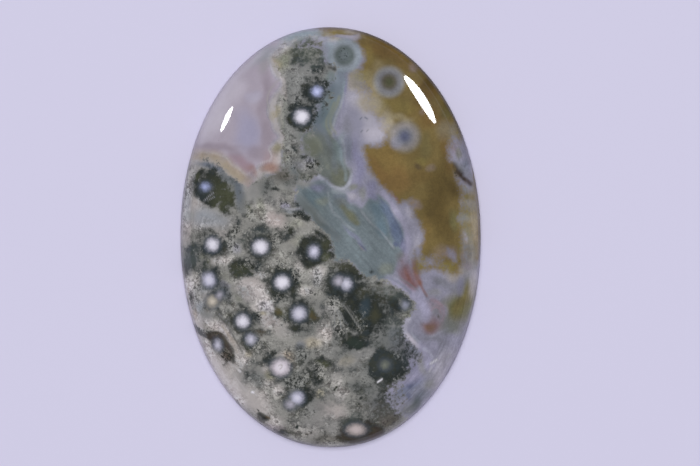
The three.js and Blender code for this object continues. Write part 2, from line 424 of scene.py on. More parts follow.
# Dark moss that isn't round an eye, and how dark it is.
MOSS_CLOTS = [
    (-2.3, 16.1, 1.0, 0.4, 0, 0.2), (-1.8, 15.6, 0.15, 0.15, 0, 0.7), (-2.0, 15.4, 1.5, 0.9, 0, 0.42),
    (-0.65, 14.75, 0.45, 0.25, -40, 0.55), (-3.2, 14.7, 0.4, 0.3, 0, 0.5), (-2.4, 14.4, 0.3, 0.15, 0, 0.5),
    (0.0, 14.4, 0.15, 0.12, 0, 0.6), (-1.2, 14.15, 0.6, 0.35, 0, 0.75), (-2.0, 14.0, 0.15, 0.12, 0, 0.6),
    (-1.2, 13.35, 0.3, 0.2, -20, 0.7), (-2.0, 13.2, 0.4, 0.24, 0, 0.7), (-0.65, 13.0, 0.4, 0.2, -35, 0.65),
    (-2.5, 12.8, 0.16, 0.12, 0, 0.5), (-2.15, 12.5, 0.3, 0.14, 0, 0.45), (-0.2, 12.1, 0.25, 0.5, 0, 0.6),
    (-3.6, 12.0, 0.2, 1.2, 5, 0.2), (-2.3, 11.8, 0.4, 0.2, 0, 0.5), (-0.9, 11.35, 0.7, 0.35, 10, 0.7),
    (-2.95, 11.2, 0.5, 0.3, 20, 0.75), (-3.3, 10.8, 0.25, 0.35, 0, 0.6), (-1.6, 10.4, 0.35, 0.8, 0, 0.5),
    (-3.6, 10.1, 0.2, 0.5, 0, 0.35), (-2.2, 9.0, 0.7, 0.35, 0, 0.6), (-3.0, 8.4, 0.4, 0.3, 0, 0.3),
    (-3.2, 7.25, 0.45, 0.08, -40, 0.45), (-2.2, 6.8, 0.35, 0.15, -20, 0.5),
    (-1.05, 6.3, 0.15, 0.45, 25, 0.9), (-1.6, 5.95, 0.4, 0.2, 20, 0.6), (-2.85, 5.75, 0.12, 0.15, 0, 0.5),
    (-1.0, 5.35, 0.2, 0.12, 0, 0.4), (-10.1, 5.15, 0.75, 0.3, 0, 0.6), (-10.8, 5.0, 0.4, 0.45, 0, 0.85),
    (-10.0, 4.9, 1.0, 0.5, -10, 0.75), (-11.1, 4.6, 0.15, 0.8, 0, 0.5), (-9.4, 4.3, 1.4, 0.9, -40, 0.6),
    (-12.05, 4.0, 0.15, 0.6, 0, 0.5), (-5.4, 4.0, 0.25, 0.6, 0, 0.3), (-9.5, 4.0, 1.5, 1.0, -42, 0.8),
    (-4.5, 3.95, 0.35, 0.15, 0, 0.7), (-8.6, 3.2, 0.75, 1.1, 20, 0.62), (-10.0, 3.2, 1.0, 0.5, -15, 0.8),
    (-3.9, 3.1, 0.4, 0.2, 20, 0.35), (-2.8, 3.0, 0.3, 0.15, -10, 0.5), (-8.7, 3.0, 0.6, 0.9, 15, 0.75),
    (-3.2, 2.7, 0.25, 0.25, 0, 0.35), (-2.3, 2.6, 0.9, 0.6, -20, 0.3), (-6.7, 2.4, 0.12, 0.4, 20, 0.35),
    (-8.6, 2.3, 0.35, 0.5, 0, 0.5), (-2.0, 2.0, 0.9, 0.4, -20, 0.6), (-2.2, 2.0, 0.9, 0.5, -10, 0.8),
    (-2.9, 1.85, 0.75, 0.18, 5, 0.6), (-7.1, 1.75, 0.25, 0.25, 0, 0.65), (-1.85, 1.75, 0.3, 0.42, 20, 0.62),
    (-6.6, 1.5, 0.25, 0.1, 0, 0.45), (-5.7, 1.1, 0.3, 0.15, 0, 0.3), (-5.8, 0.75, 0.8, 0.4, -10, 0.35),
    (-7.85, 0.7, 0.25, 0.65, -10, 0.7), (-3.25, 0.65, 0.35, 0.4, 0, 0.5), (-8.4, 0.4, 0.5, 0.22, 25, 0.5),
    (-10.2, 0.3, 0.8, 0.25, 5, 0.3), (-0.8, 0.25, 0.65, 0.22, -35, 0.6), (-4.0, 0.1, 0.9, 0.7, 0, 0.45),
    (-2.6, -0.4, 0.2, 0.15, 0, 0.35), (-7.3, -0.4, 0.4, 0.35, 0, 0.3), (-0.3, -0.7, 0.4, 1.0, 5, 0.62),
    (-11.4, -0.8, 0.6, 0.7, 0, 0.33), (-0.6, -0.9, 1.5, 1.5, 0, 0.3), (0.0, -1.0, 0.7, 0.9, 0, 0.6),
    (-2.4, -1.4, 0.5, 0.4, 0, 0.55), (-11.5, -1.8, 0.5, 0.5, 0, 0.42), (-6.9, -1.9, 0.8, 0.5, 0, 0.35),
    (-1.7, -2.15, 0.55, 0.45, 20, 0.62), (-11.7, -2.3, 0.5, 0.7, 0, 0.5), (0.9, -2.3, 0.5, 0.25, 0, 0.45),
    (-10.2, -2.4, 0.5, 0.3, 0, 0.45), (-7.3, -2.5, 1.3, 0.75, -12, 0.62), (1.65, -2.6, 0.4, 0.35, 0, 0.55),
    (-9.4, -3.0, 0.35, 0.4, 30, 0.45), (-1.0, -3.0, 0.6, 0.5, 0, 0.25), (-7.2, -3.0, 1.0, 0.5, -12, 0.65),
    (-7.3, -3.3, 0.4, 0.35, 0, 0.4), (-0.4, -3.3, 0.25, 0.4, 0, 0.4), (-5.6, -3.6, 0.3, 0.25, 0, 0.4),
    (4.1, -3.7, 0.35, 0.2, -20, 0.4), (-5.4, -4.2, 0.25, 0.2, 0, 0.3), (-0.3, -4.4, 0.4, 0.3, 0, 0.4),
    (5.0, -4.4, 0.8, 0.3, -15, 0.3), (-9.9, -4.7, 0.6, 0.25, 10, 0.45), (-8.7, -4.9, 0.45, 1.0, 10, 0.42),
    (6.0, -4.9, 0.8, 0.4, -25, 0.5), (-3.0, -5.0, 0.8, 0.5, 0, 0.55), (-11.6, -5.2, 0.16, 0.8, 8, 0.7),
    (5.2, -5.2, 0.4, 0.4, 0, 0.8), (-3.2, -5.3, 0.8, 0.25, 0, 0.25), (4.4, -5.4, 1.8, 1.0, -20, 0.4),
    (-7.5, -5.6, 0.4, 0.3, -20, 0.35), (0.15, -5.6, 0.25, 0.15, -30, 0.6),
    (-11.4, -5.7, 0.12, 0.3, 10, 0.35), (5.5, -5.7, 0.4, 0.35, 0, 0.6), (4.3, -5.9, 0.3, 0.5, 0, 0.45),
    (-6.9, -5.95, 0.4, 0.2, 0, 0.35), (-4.4, -6.1, 0.45, 0.75, 20, 0.62), (1.2, -6.1, 0.8, 0.6, 20, 0.5),
    (-8.6, -6.2, 0.3, 0.4, 0, 0.3), (-0.2, -6.2, 0.5, 0.7, 0, 0.4), (-9.2, -6.4, 0.4, 0.12, -40, 0.5),
    (3.0, -6.4, 2.3, 1.5, -50, 0.8), (-1.35, -6.45, 0.5, 0.36, -20, 0.95), (5.1, -6.5, 0.6, 0.4, 0, 0.35),
    (-6.15, -6.7, 0.4, 0.45, 0, 0.5), (-3.7, -6.9, 0.3, 0.3, 0, 0.4), (1.9, -6.9, 0.6, 1.4, 28, 0.85),
    (-8.4, -7.3, 0.5, 0.15, -50, 0.45), (5.9, -7.3, 0.35, 0.6, 0, 0.3), (-2.8, -7.6, 0.9, 0.4, 0, 0.6),
    (-10.9, -7.8, 0.95, 0.26, -42, 1.0), (-5.9, -8.0, 0.55, 0.4, -20, 0.45),
    (-9.7, -8.2, 1.1, 0.38, -12, 1.1), (0.85, -8.3, 0.25, 0.45, 0, 0.5), (0.5, -8.3, 0.7, 0.8, 0, 0.45),
    (-7.3, -8.4, 0.2, 0.6, 20, 0.45), (2.1, -8.6, 1.1, 0.8, 0, 0.5), (2.0, -8.75, 1.1, 0.75, -5, 0.95),
    (-9.8, -8.8, 0.25, 0.4, 30, 0.8), (-6.0, -9.0, 0.7, 0.5, 0, 0.45), (-8.7, -9.1, 0.4, 0.9, 30, 1.0),
    (-5.9, -9.3, 0.4, 0.3, 0, 0.35), (-2.4, -9.3, 0.4, 0.3, 0, 0.3), (-7.0, -9.4, 0.25, 0.4, 30, 0.4),
    (6.2, -9.4, 0.9, 0.7, 0, 0.6), (-4.7, -9.7, 0.5, 0.3, 30, 0.45), (7.0, -9.7, 0.5, 0.3, -10, 0.3),
    (-8.75, -9.9, 0.42, 0.9, 14, 0.95), (5.8, -9.9, 0.7, 0.25, 0, 0.5), (-1.9, -9.9, 0.6, 0.4, 0, 0.35),
    (-0.55, -10.0, 0.2, 0.3, 0, 0.5), (1.0, -10.0, 0.9, 0.5, 0, 0.2), (-9.0, -10.0, 0.5, 0.7, 20, 0.45),
    (-8.3, -10.3, 0.3, 0.6, 30, 0.6), (-2.5, -10.3, 0.4, 0.4, 0, 0.3), (-5.3, -10.4, 0.4, 0.9, 0, 0.4),
    (4.9, -10.4, 1.9, 1.4, 0, 0.4), (6.3, -10.4, 0.6, 0.8, 0, 0.6), (-9.0, -10.4, 0.6, 0.7, 20, 0.4),
    (-0.4, -10.4, 0.8, 0.5, 0, 0.55), (-0.15, -10.5, 0.5, 0.25, 0, 0.55), (-8.75, -10.6, 0.3, 0.4, 0, 0.8),
    (-7.0, -10.6, 0.35, 0.3, 0, 0.35), (-5.5, -10.6, 0.5, 0.6, 0, 0.35), (0.0, -11.0, 0.9, 0.7, 0, 0.25),
    (-1.2, -11.0, 0.8, 0.7, 0, 0.45), (-7.2, -11.3, 0.4, 0.4, 0, 0.25), (5.9, -11.3, 0.7, 0.6, 0, 0.55),
    (-1.2, -11.6, 0.5, 0.9, 10, 0.6), (-2.6, -11.7, 1.3, 0.9, 0, 0.5), (-1.05, -11.8, 0.25, 0.55, 15, 0.6),
    (-3.4, -11.8, 0.8, 0.4, 0, 0.45), (5.2, -11.9, 0.9, 0.5, 20, 0.55), (3.9, -12.0, 0.5, 0.3, 0, 0.35),
    (-2.9, -12.2, 0.9, 0.35, 0, 0.6), (-4.4, -12.25, 0.75, 0.35, 10, 0.5), (-5.9, -12.3, 0.5, 0.3, 0, 0.2),
    (-2.6, -12.4, 0.5, 0.25, 0, 0.5), (-1.8, -12.4, 1.0, 1.6, 0, 0.2), (0.35, -12.5, 0.22, 0.07, 40, 0.9),
    (2.8, -12.7, 1.4, 0.9, 0, 0.25), (4.3, -13.0, 1.4, 0.9, 0, 0.26), (-2.0, -13.1, 0.8, 0.9, 0, 0.75),
    (-2.0, -13.3, 0.8, 0.8, 0, 0.9), (-8.0, -13.4, 1.1, 0.15, -48, 0.4), (2.55, -13.6, 0.15, 0.13, 0, 0.7),
    (3.6, -13.8, 2.6, 1.6, 20, 0.16), (5.2, -14.2, 0.9, 0.7, 0, 0.2), (2.7, -14.3, 0.4, 0.1, 10, 0.3),
    (-6.0, -14.5, 0.3, 0.12, -50, 0.9), (-5.45, -15.0, 0.55, 0.34, -20, 1.15),
    (3.2, -15.0, 1.4, 0.8, 0, 0.22), (1.9, -15.1, 0.7, 0.35, -10, 0.5), (1.2, -15.2, 0.9, 0.6, 0, 0.5),
    (3.0, -15.3, 0.8, 0.4, 0, 0.4), (0.9, -15.7, 0.3, 0.5, 0, 0.35), (-2.75, -15.72, 0.16, 0.12, 0, 0.9),
    (3.6, -16.2, 0.9, 0.5, 10, 0.8), (-1.75, -16.3, 0.4, 0.06, 0, 0.6), (-3.6, -16.3, 0.8, 0.25, 0, 0.35),
    (1.2, -16.7, 0.6, 0.35, 0, 0.5), (2.4, -17.1, 1.2, 0.3, 0, 0.5),
]

# Places where the ground shows clear of moss, and how clear.
CLEARINGS = [
    (-3.1, 16.1, 0.8, 0.4, 25, 0.3), (0.0, 15.2, 0.35, 0.6, 0, 0.4), (-3.9, 14.9, 0.6, 0.9, 0, 0.3),
    (-0.1, 13.4, 0.5, 0.4, 0, 0.3), (-2.6, 12.0, 0.35, 0.3, 0, 0.3), (-4.3, 11.8, 0.4, 0.8, 0, 0.2),
    (-0.7, 11.4, 0.5, 1.4, -20, 0.2), (-4.2, 9.5, 0.4, 1.8, 0, 0.2), (-1.8, 7.9, 1.0, 1.0, 0, 0.25),
    (-11.2, 5.9, 0.7, 0.5, 30, 0.5), (-4.5, 5.8, 0.6, 0.4, 0, 0.3), (-2.9, 5.0, 0.6, 0.9, 0, 0.2),
    (-12.0, 4.4, 0.5, 1.8, 0, 0.3), (-6.7, 3.9, 0.8, 0.6, 0, 0.4), (-4.2, 3.1, 0.5, 0.4, 0, 0.25),
    (-11.1, 2.8, 0.7, 0.7, 0, 0.4), (-5.3, 2.6, 1.0, 0.6, 0, 0.25), (-10.4, 1.9, 1.6, 0.7, -10, 0.3),
    (-11.9, 1.5, 0.4, 1.8, 0, 0.3), (-4.7, 1.4, 0.9, 0.6, 0, 0.4), (-8.6, 1.3, 0.7, 0.5, 0, 0.25),
    (-10.4, 1.2, 1.6, 0.7, -5, 0.35), (-2.6, 1.1, 0.7, 0.3, 0, 0.2), (-12.1, 0.4, 0.4, 0.8, 0, 0.25),
    (-9.1, 0.3, 0.5, 0.5, 0, 0.25), (-3.3, -0.3, 0.6, 0.4, 0, 0.2), (-9.1, -1.9, 1.0, 0.4, 30, 0.3),
    (-2.5, -2.3, 0.5, 0.5, -30, 0.25), (-1.0, -2.9, 0.7, 0.4, 0, 0.3), (-6.0, -3.1, 0.6, 0.4, 0, 0.35),
    (-11.0, -4.2, 0.9, 1.2, 0, 0.6), (-6.4, -4.3, 1.3, 0.8, -35, 0.4), (-1.9, -4.5, 0.6, 0.5, 0, 0.3),
    (-12.1, -5.5, 0.3, 2.5, 8, 0.35), (-5.2, -5.6, 0.7, 0.7, 0, 0.5), (-5.3, -5.8, 0.7, 0.45, 0, 0.35),
    (-6.0, -5.9, 0.9, 0.5, 20, 0.35), (-0.1, -6.1, 0.7, 0.4, 0, 0.3), (-11.3, -6.8, 0.6, 1.6, 12, 0.4),
    (-5.0, -6.9, 0.8, 0.5, 0, 0.4), (-9.6, -7.2, 1.8, 0.4, -25, 0.45), (-5.2, -7.3, 0.8, 0.4, 0, 0.3),
    (-3.9, -7.7, 0.9, 0.7, -20, 0.25), (-0.5, -7.8, 0.7, 0.8, 0, 0.4), (-8.5, -8.2, 1.2, 0.3, -52, 0.45),
    (4.3, -8.2, 0.9, 0.6, -20, 0.35), (-1.4, -8.8, 0.8, 0.5, 0, 0.25), (-10.6, -9.4, 0.5, 1.6, 25, 0.4),
    (3.0, -9.8, 1.0, 0.5, 0, 0.5), (-3.9, -10.0, 0.6, 0.5, 0, 0.3), (-7.4, -10.2, 0.6, 0.9, 20, 0.5),
    (1.5, -10.3, 0.8, 0.6, 0, 0.3), (-9.8, -10.4, 0.8, 1.6, 28, 0.35), (-8.0, -11.0, 0.6, 0.8, 30, 0.3),
    (-5.2, -11.1, 0.5, 0.6, 0, 0.35), (-9.3, -11.2, 0.8, 2.0, 32, 0.5), (0.6, -11.6, 0.6, 1.0, 0, 0.15),
    (-8.1, -11.6, 0.8, 1.0, 35, 0.35), (-5.0, -12.2, 0.7, 0.4, 0, 0.3), (-8.0, -12.2, 0.8, 1.2, 42, 0.5),
    (-8.0, -12.6, 0.7, 1.6, 42, 0.5), (-4.2, -12.9, 0.6, 0.5, 0, 0.35), (0.9, -13.1, 0.7, 0.5, 0, 0.35),
    (-6.2, -13.7, 0.9, 1.4, 48, 0.6), (0.1, -14.4, 1.4, 0.7, 0, 0.3), (-4.6, -15.3, 0.9, 0.5, -30, 0.35),
    (-1.2, -15.8, 1.8, 0.8, 0, 0.2),
]

# Places where black specks and pale chips crowd, and how thickly.
BUSY = [
    (1.05, 15.2, 0.7, 0.9, 0, 0.6), (-3.9, 14.7, 0.35, 0.8, 0, 0.7), (-1.4, 14.0, 1.2, 0.4, 0, 0.6),
    (-2.2, 13.3, 0.9, 0.7, 0, 0.6), (-2.9, 12.3, 0.8, 1.6, 0, 0.78), (-3.8, 10.6, 0.35, 2.6, 0, 0.68),
    (-3.6, 10.0, 0.4, 2.0, 0, 0.5), (7.6, 8.4, 0.8, 0.5, 0, 0.2), (-2.6, 8.3, 0.9, 0.5, 0, 0.4),
    (10.7, 6.9, 0.6, 0.8, 0, 0.35), (-3.0, 6.4, 0.9, 0.9, 0, 0.55), (-1.6, 6.2, 0.7, 0.7, 0, 0.9),
    (11.0, 5.2, 1.1, 0.45, -42, 0.5), (-4.8, 3.6, 0.8, 0.6, 0, 0.3), (-3.7, 2.7, 0.7, 0.6, 0, 0.7),
    (-6.7, 2.0, 0.5, 0.9, 0, 0.7), (-2.8, 1.7, 0.9, 0.3, 0, 0.6), (-3.4, 0.9, 0.8, 0.6, 0, 0.6),
    (-7.9, 0.6, 0.5, 0.8, 0, 0.8), (-4.6, -0.2, 0.6, 0.9, 0, 0.7), (-8.1, -0.6, 0.6, 1.0, 0, 0.9),
    (-11.2, -1.2, 0.7, 1.0, 0, 0.5), (-9.0, -2.2, 0.8, 0.5, 0, 0.6), (-3.9, -2.3, 1.0, 0.5, 0, 0.7),
    (-7.0, -2.4, 1.2, 0.6, 0, 0.6), (-2.6, -3.0, 0.8, 0.9, 0, 0.8), (-1.2, -3.3, 0.6, 0.8, 0, 0.8),
    (-1.4, -4.6, 0.9, 0.8, 0, 0.7), (-4.2, -5.0, 0.8, 0.6, 0, 0.6), (0.3, -5.8, 0.7, 1.2, 20, 0.9),
    (-5.6, -6.6, 0.9, 0.9, 0, 0.7), (2.6, -6.8, 1.0, 1.4, 0, 0.6), (-4.0, -7.0, 0.7, 0.6, 0, 0.6),
    (0.9, -7.6, 0.9, 0.9, 0, 0.9), (-10.9, -7.6, 0.8, 0.3, -40, 0.7), (-9.5, -8.15, 1.0, 0.3, -15, 0.7),
    (-6.2, -8.9, 1.2, 0.8, -20, 0.7), (6.9, -9.0, 0.3, 0.5, 30, 0.6), (6.4, -9.6, 0.6, 0.7, 0, 0.7),
    (-2.2, -9.8, 1.0, 0.8, 0, 0.7), (5.6, -9.8, 0.8, 0.7, 0, 0.7), (-8.8, -10.0, 0.5, 1.0, 15, 0.9),
    (-0.8, -11.2, 0.7, 0.9, 0, 0.8), (3.3, -11.5, 1.1, 0.9, 0, 0.5), (5.6, -11.8, 0.7, 0.5, 0, 0.5),
    (-2.9, -11.9, 1.3, 0.9, 0, 0.8), (-1.8, -14.5, 1.4, 0.7, 0, 0.6),
]

# Places where the stone is calm, without grit or flecks, and how calm.
CALM = [
    (-2.1, 15.4, 1.5, 1.0, 0, 1.0), (-4.4, 14.9, 0.5, 0.8, 0, 0.8), (-0.1, 12.4, 0.9, 1.8, -10, 1.0),
    (-0.5, 10.5, 1.0, 1.7, -25, 1.0), (-4.7, 10.2, 0.4, 1.2, 0, 0.8), (2.9, 9.6, 1.5, 2.0, 15, 0.7),
    (-1.1, 9.2, 0.9, 1.1, 0, 1.0), (-1.6, 7.8, 1.1, 1.3, 0, 0.6), (-9.9, 5.9, 1.8, 0.75, -5, 1.0),
    (-2.9, 5.3, 0.6, 0.9, 0, 0.7), (-2.0, 4.9, 1.0, 0.6, 0, 0.9), (-8.4, 4.9, 1.0, 0.6, -42, 1.0),
    (-3.6, 4.9, 1.5, 1.0, 0, 0.85), (-6.7, 3.9, 0.9, 1.1, 0, 0.8), (-7.65, 3.3, 0.5, 1.6, 5, 1.0),
    (-2.3, 2.55, 0.75, 0.4, -38, 0.9), (-10.3, 1.8, 1.6, 0.8, -8, 0.8), (-9.8, -0.6, 1.1, 1.1, 0, 0.5),
    (-5.8, -0.8, 1.2, 1.1, 0, 0.5), (-11.7, -1.2, 0.8, 1.6, 0, 0.9), (-6.9, -4.5, 1.3, 0.8, -30, 0.25),
    (4.6, -5.2, 2.2, 1.6, -20, 0.6), (-9.8, -5.3, 0.9, 0.7, 0, 0.7), (3.0, -6.2, 1.6, 1.6, 0, 0.7),
    (-9.5, -7.0, 1.3, 0.4, -30, 0.5), (-11.2, -7.6, 0.6, 2.2, 12, 0.7), (-3.7, -7.7, 0.8, 0.5, 0, 0.6),
    (5.6, -8.2, 1.0, 1.4, 0, 0.8), (4.5, -8.3, 1.6, 1.2, 0, 0.8), (2.1, -8.8, 1.0, 0.7, 0, 0.8),
    (-7.9, -8.9, 0.4, 1.1, 30, 0.45), (6.7, -9.7, 0.9, 1.2, 0, 0.6), (1.5, -10.4, 1.1, 0.8, 0, 0.6),
    (4.6, -10.6, 1.7, 1.4, 0, 0.8), (-8.8, -11.5, 1.1, 2.4, 35, 0.8), (4.2, -13.2, 1.7, 1.4, 0, 0.7),
    (6.0, -13.2, 0.7, 1.0, 0, 0.8), (-6.3, -13.6, 0.9, 1.9, 48, 0.75), (0.5, -14.0, 1.5, 0.9, 0, 0.6),
]

# Places streaked along the stone's edge, and how strongly.
RIM_STREAKED = [
    (9.3, 12.6, 2.4, 0.6, -52, 0.5), (11.0, 7.5, 0.9, 1.8, 15, 0.5), (-11.9, 1.5, 0.6, 3.0, 0, 0.7),
    (12.0, 0.5, 0.8, 6.0, 0, 0.5), (11.2, -5.6, 1.2, 1.8, -18, 0.9), (-10.3, -9.6, 0.9, 3.2, 25, 0.5),
    (9.4, -10.2, 1.3, 3.2, -32, 0.8), (6.8, -12.8, 1.8, 1.3, 35, 1.0),
]

# Places where the edges of the moss and of the ochre are drawn out wide, and how wide.
SOFT_EDGES = [
    (-2.0, 16.2, 2.2, 1.0, 0, 0.9), (-4.6, 14.8, 0.8, 1.2, 0, 0.5), (2.8, 12.2, 1.2, 2.2, 30, 0.7),
    (-0.6, 11.5, 1.0, 2.6, -15, 0.8), (4.6, 9.6, 1.0, 0.6, 0, 0.5), (-1.7, 8.0, 1.0, 1.6, 0, 0.8),
    (10.6, 8.0, 0.9, 0.9, 0, 0.7), (-1.2, 6.3, 0.8, 0.8, 0, 0.6), (-9.4, 6.1, 2.4, 0.5, -22, 0.5),
    (-4.6, 6.0, 0.8, 0.8, 0, 0.6), (-2.6, 4.3, 0.7, 0.9, 0, 0.8), (7.2, 3.2, 0.8, 0.6, 0, 0.6),
    (11.3, 1.0, 0.8, 4.6, 0, 0.75), (0.6, -1.4, 1.2, 0.8, -40, 0.5), (9.0, -1.8, 2.0, 1.0, 0, 0.6),
    (5.4, -3.2, 1.4, 0.8, -30, 0.5), (6.8, -9.8, 1.2, 1.6, 0, 0.8), (5.6, -13.4, 1.4, 1.8, 20, 0.9),
]

# Stains are soft ovals laid one over the other: hue, across, up, half sizes, turn and strength.

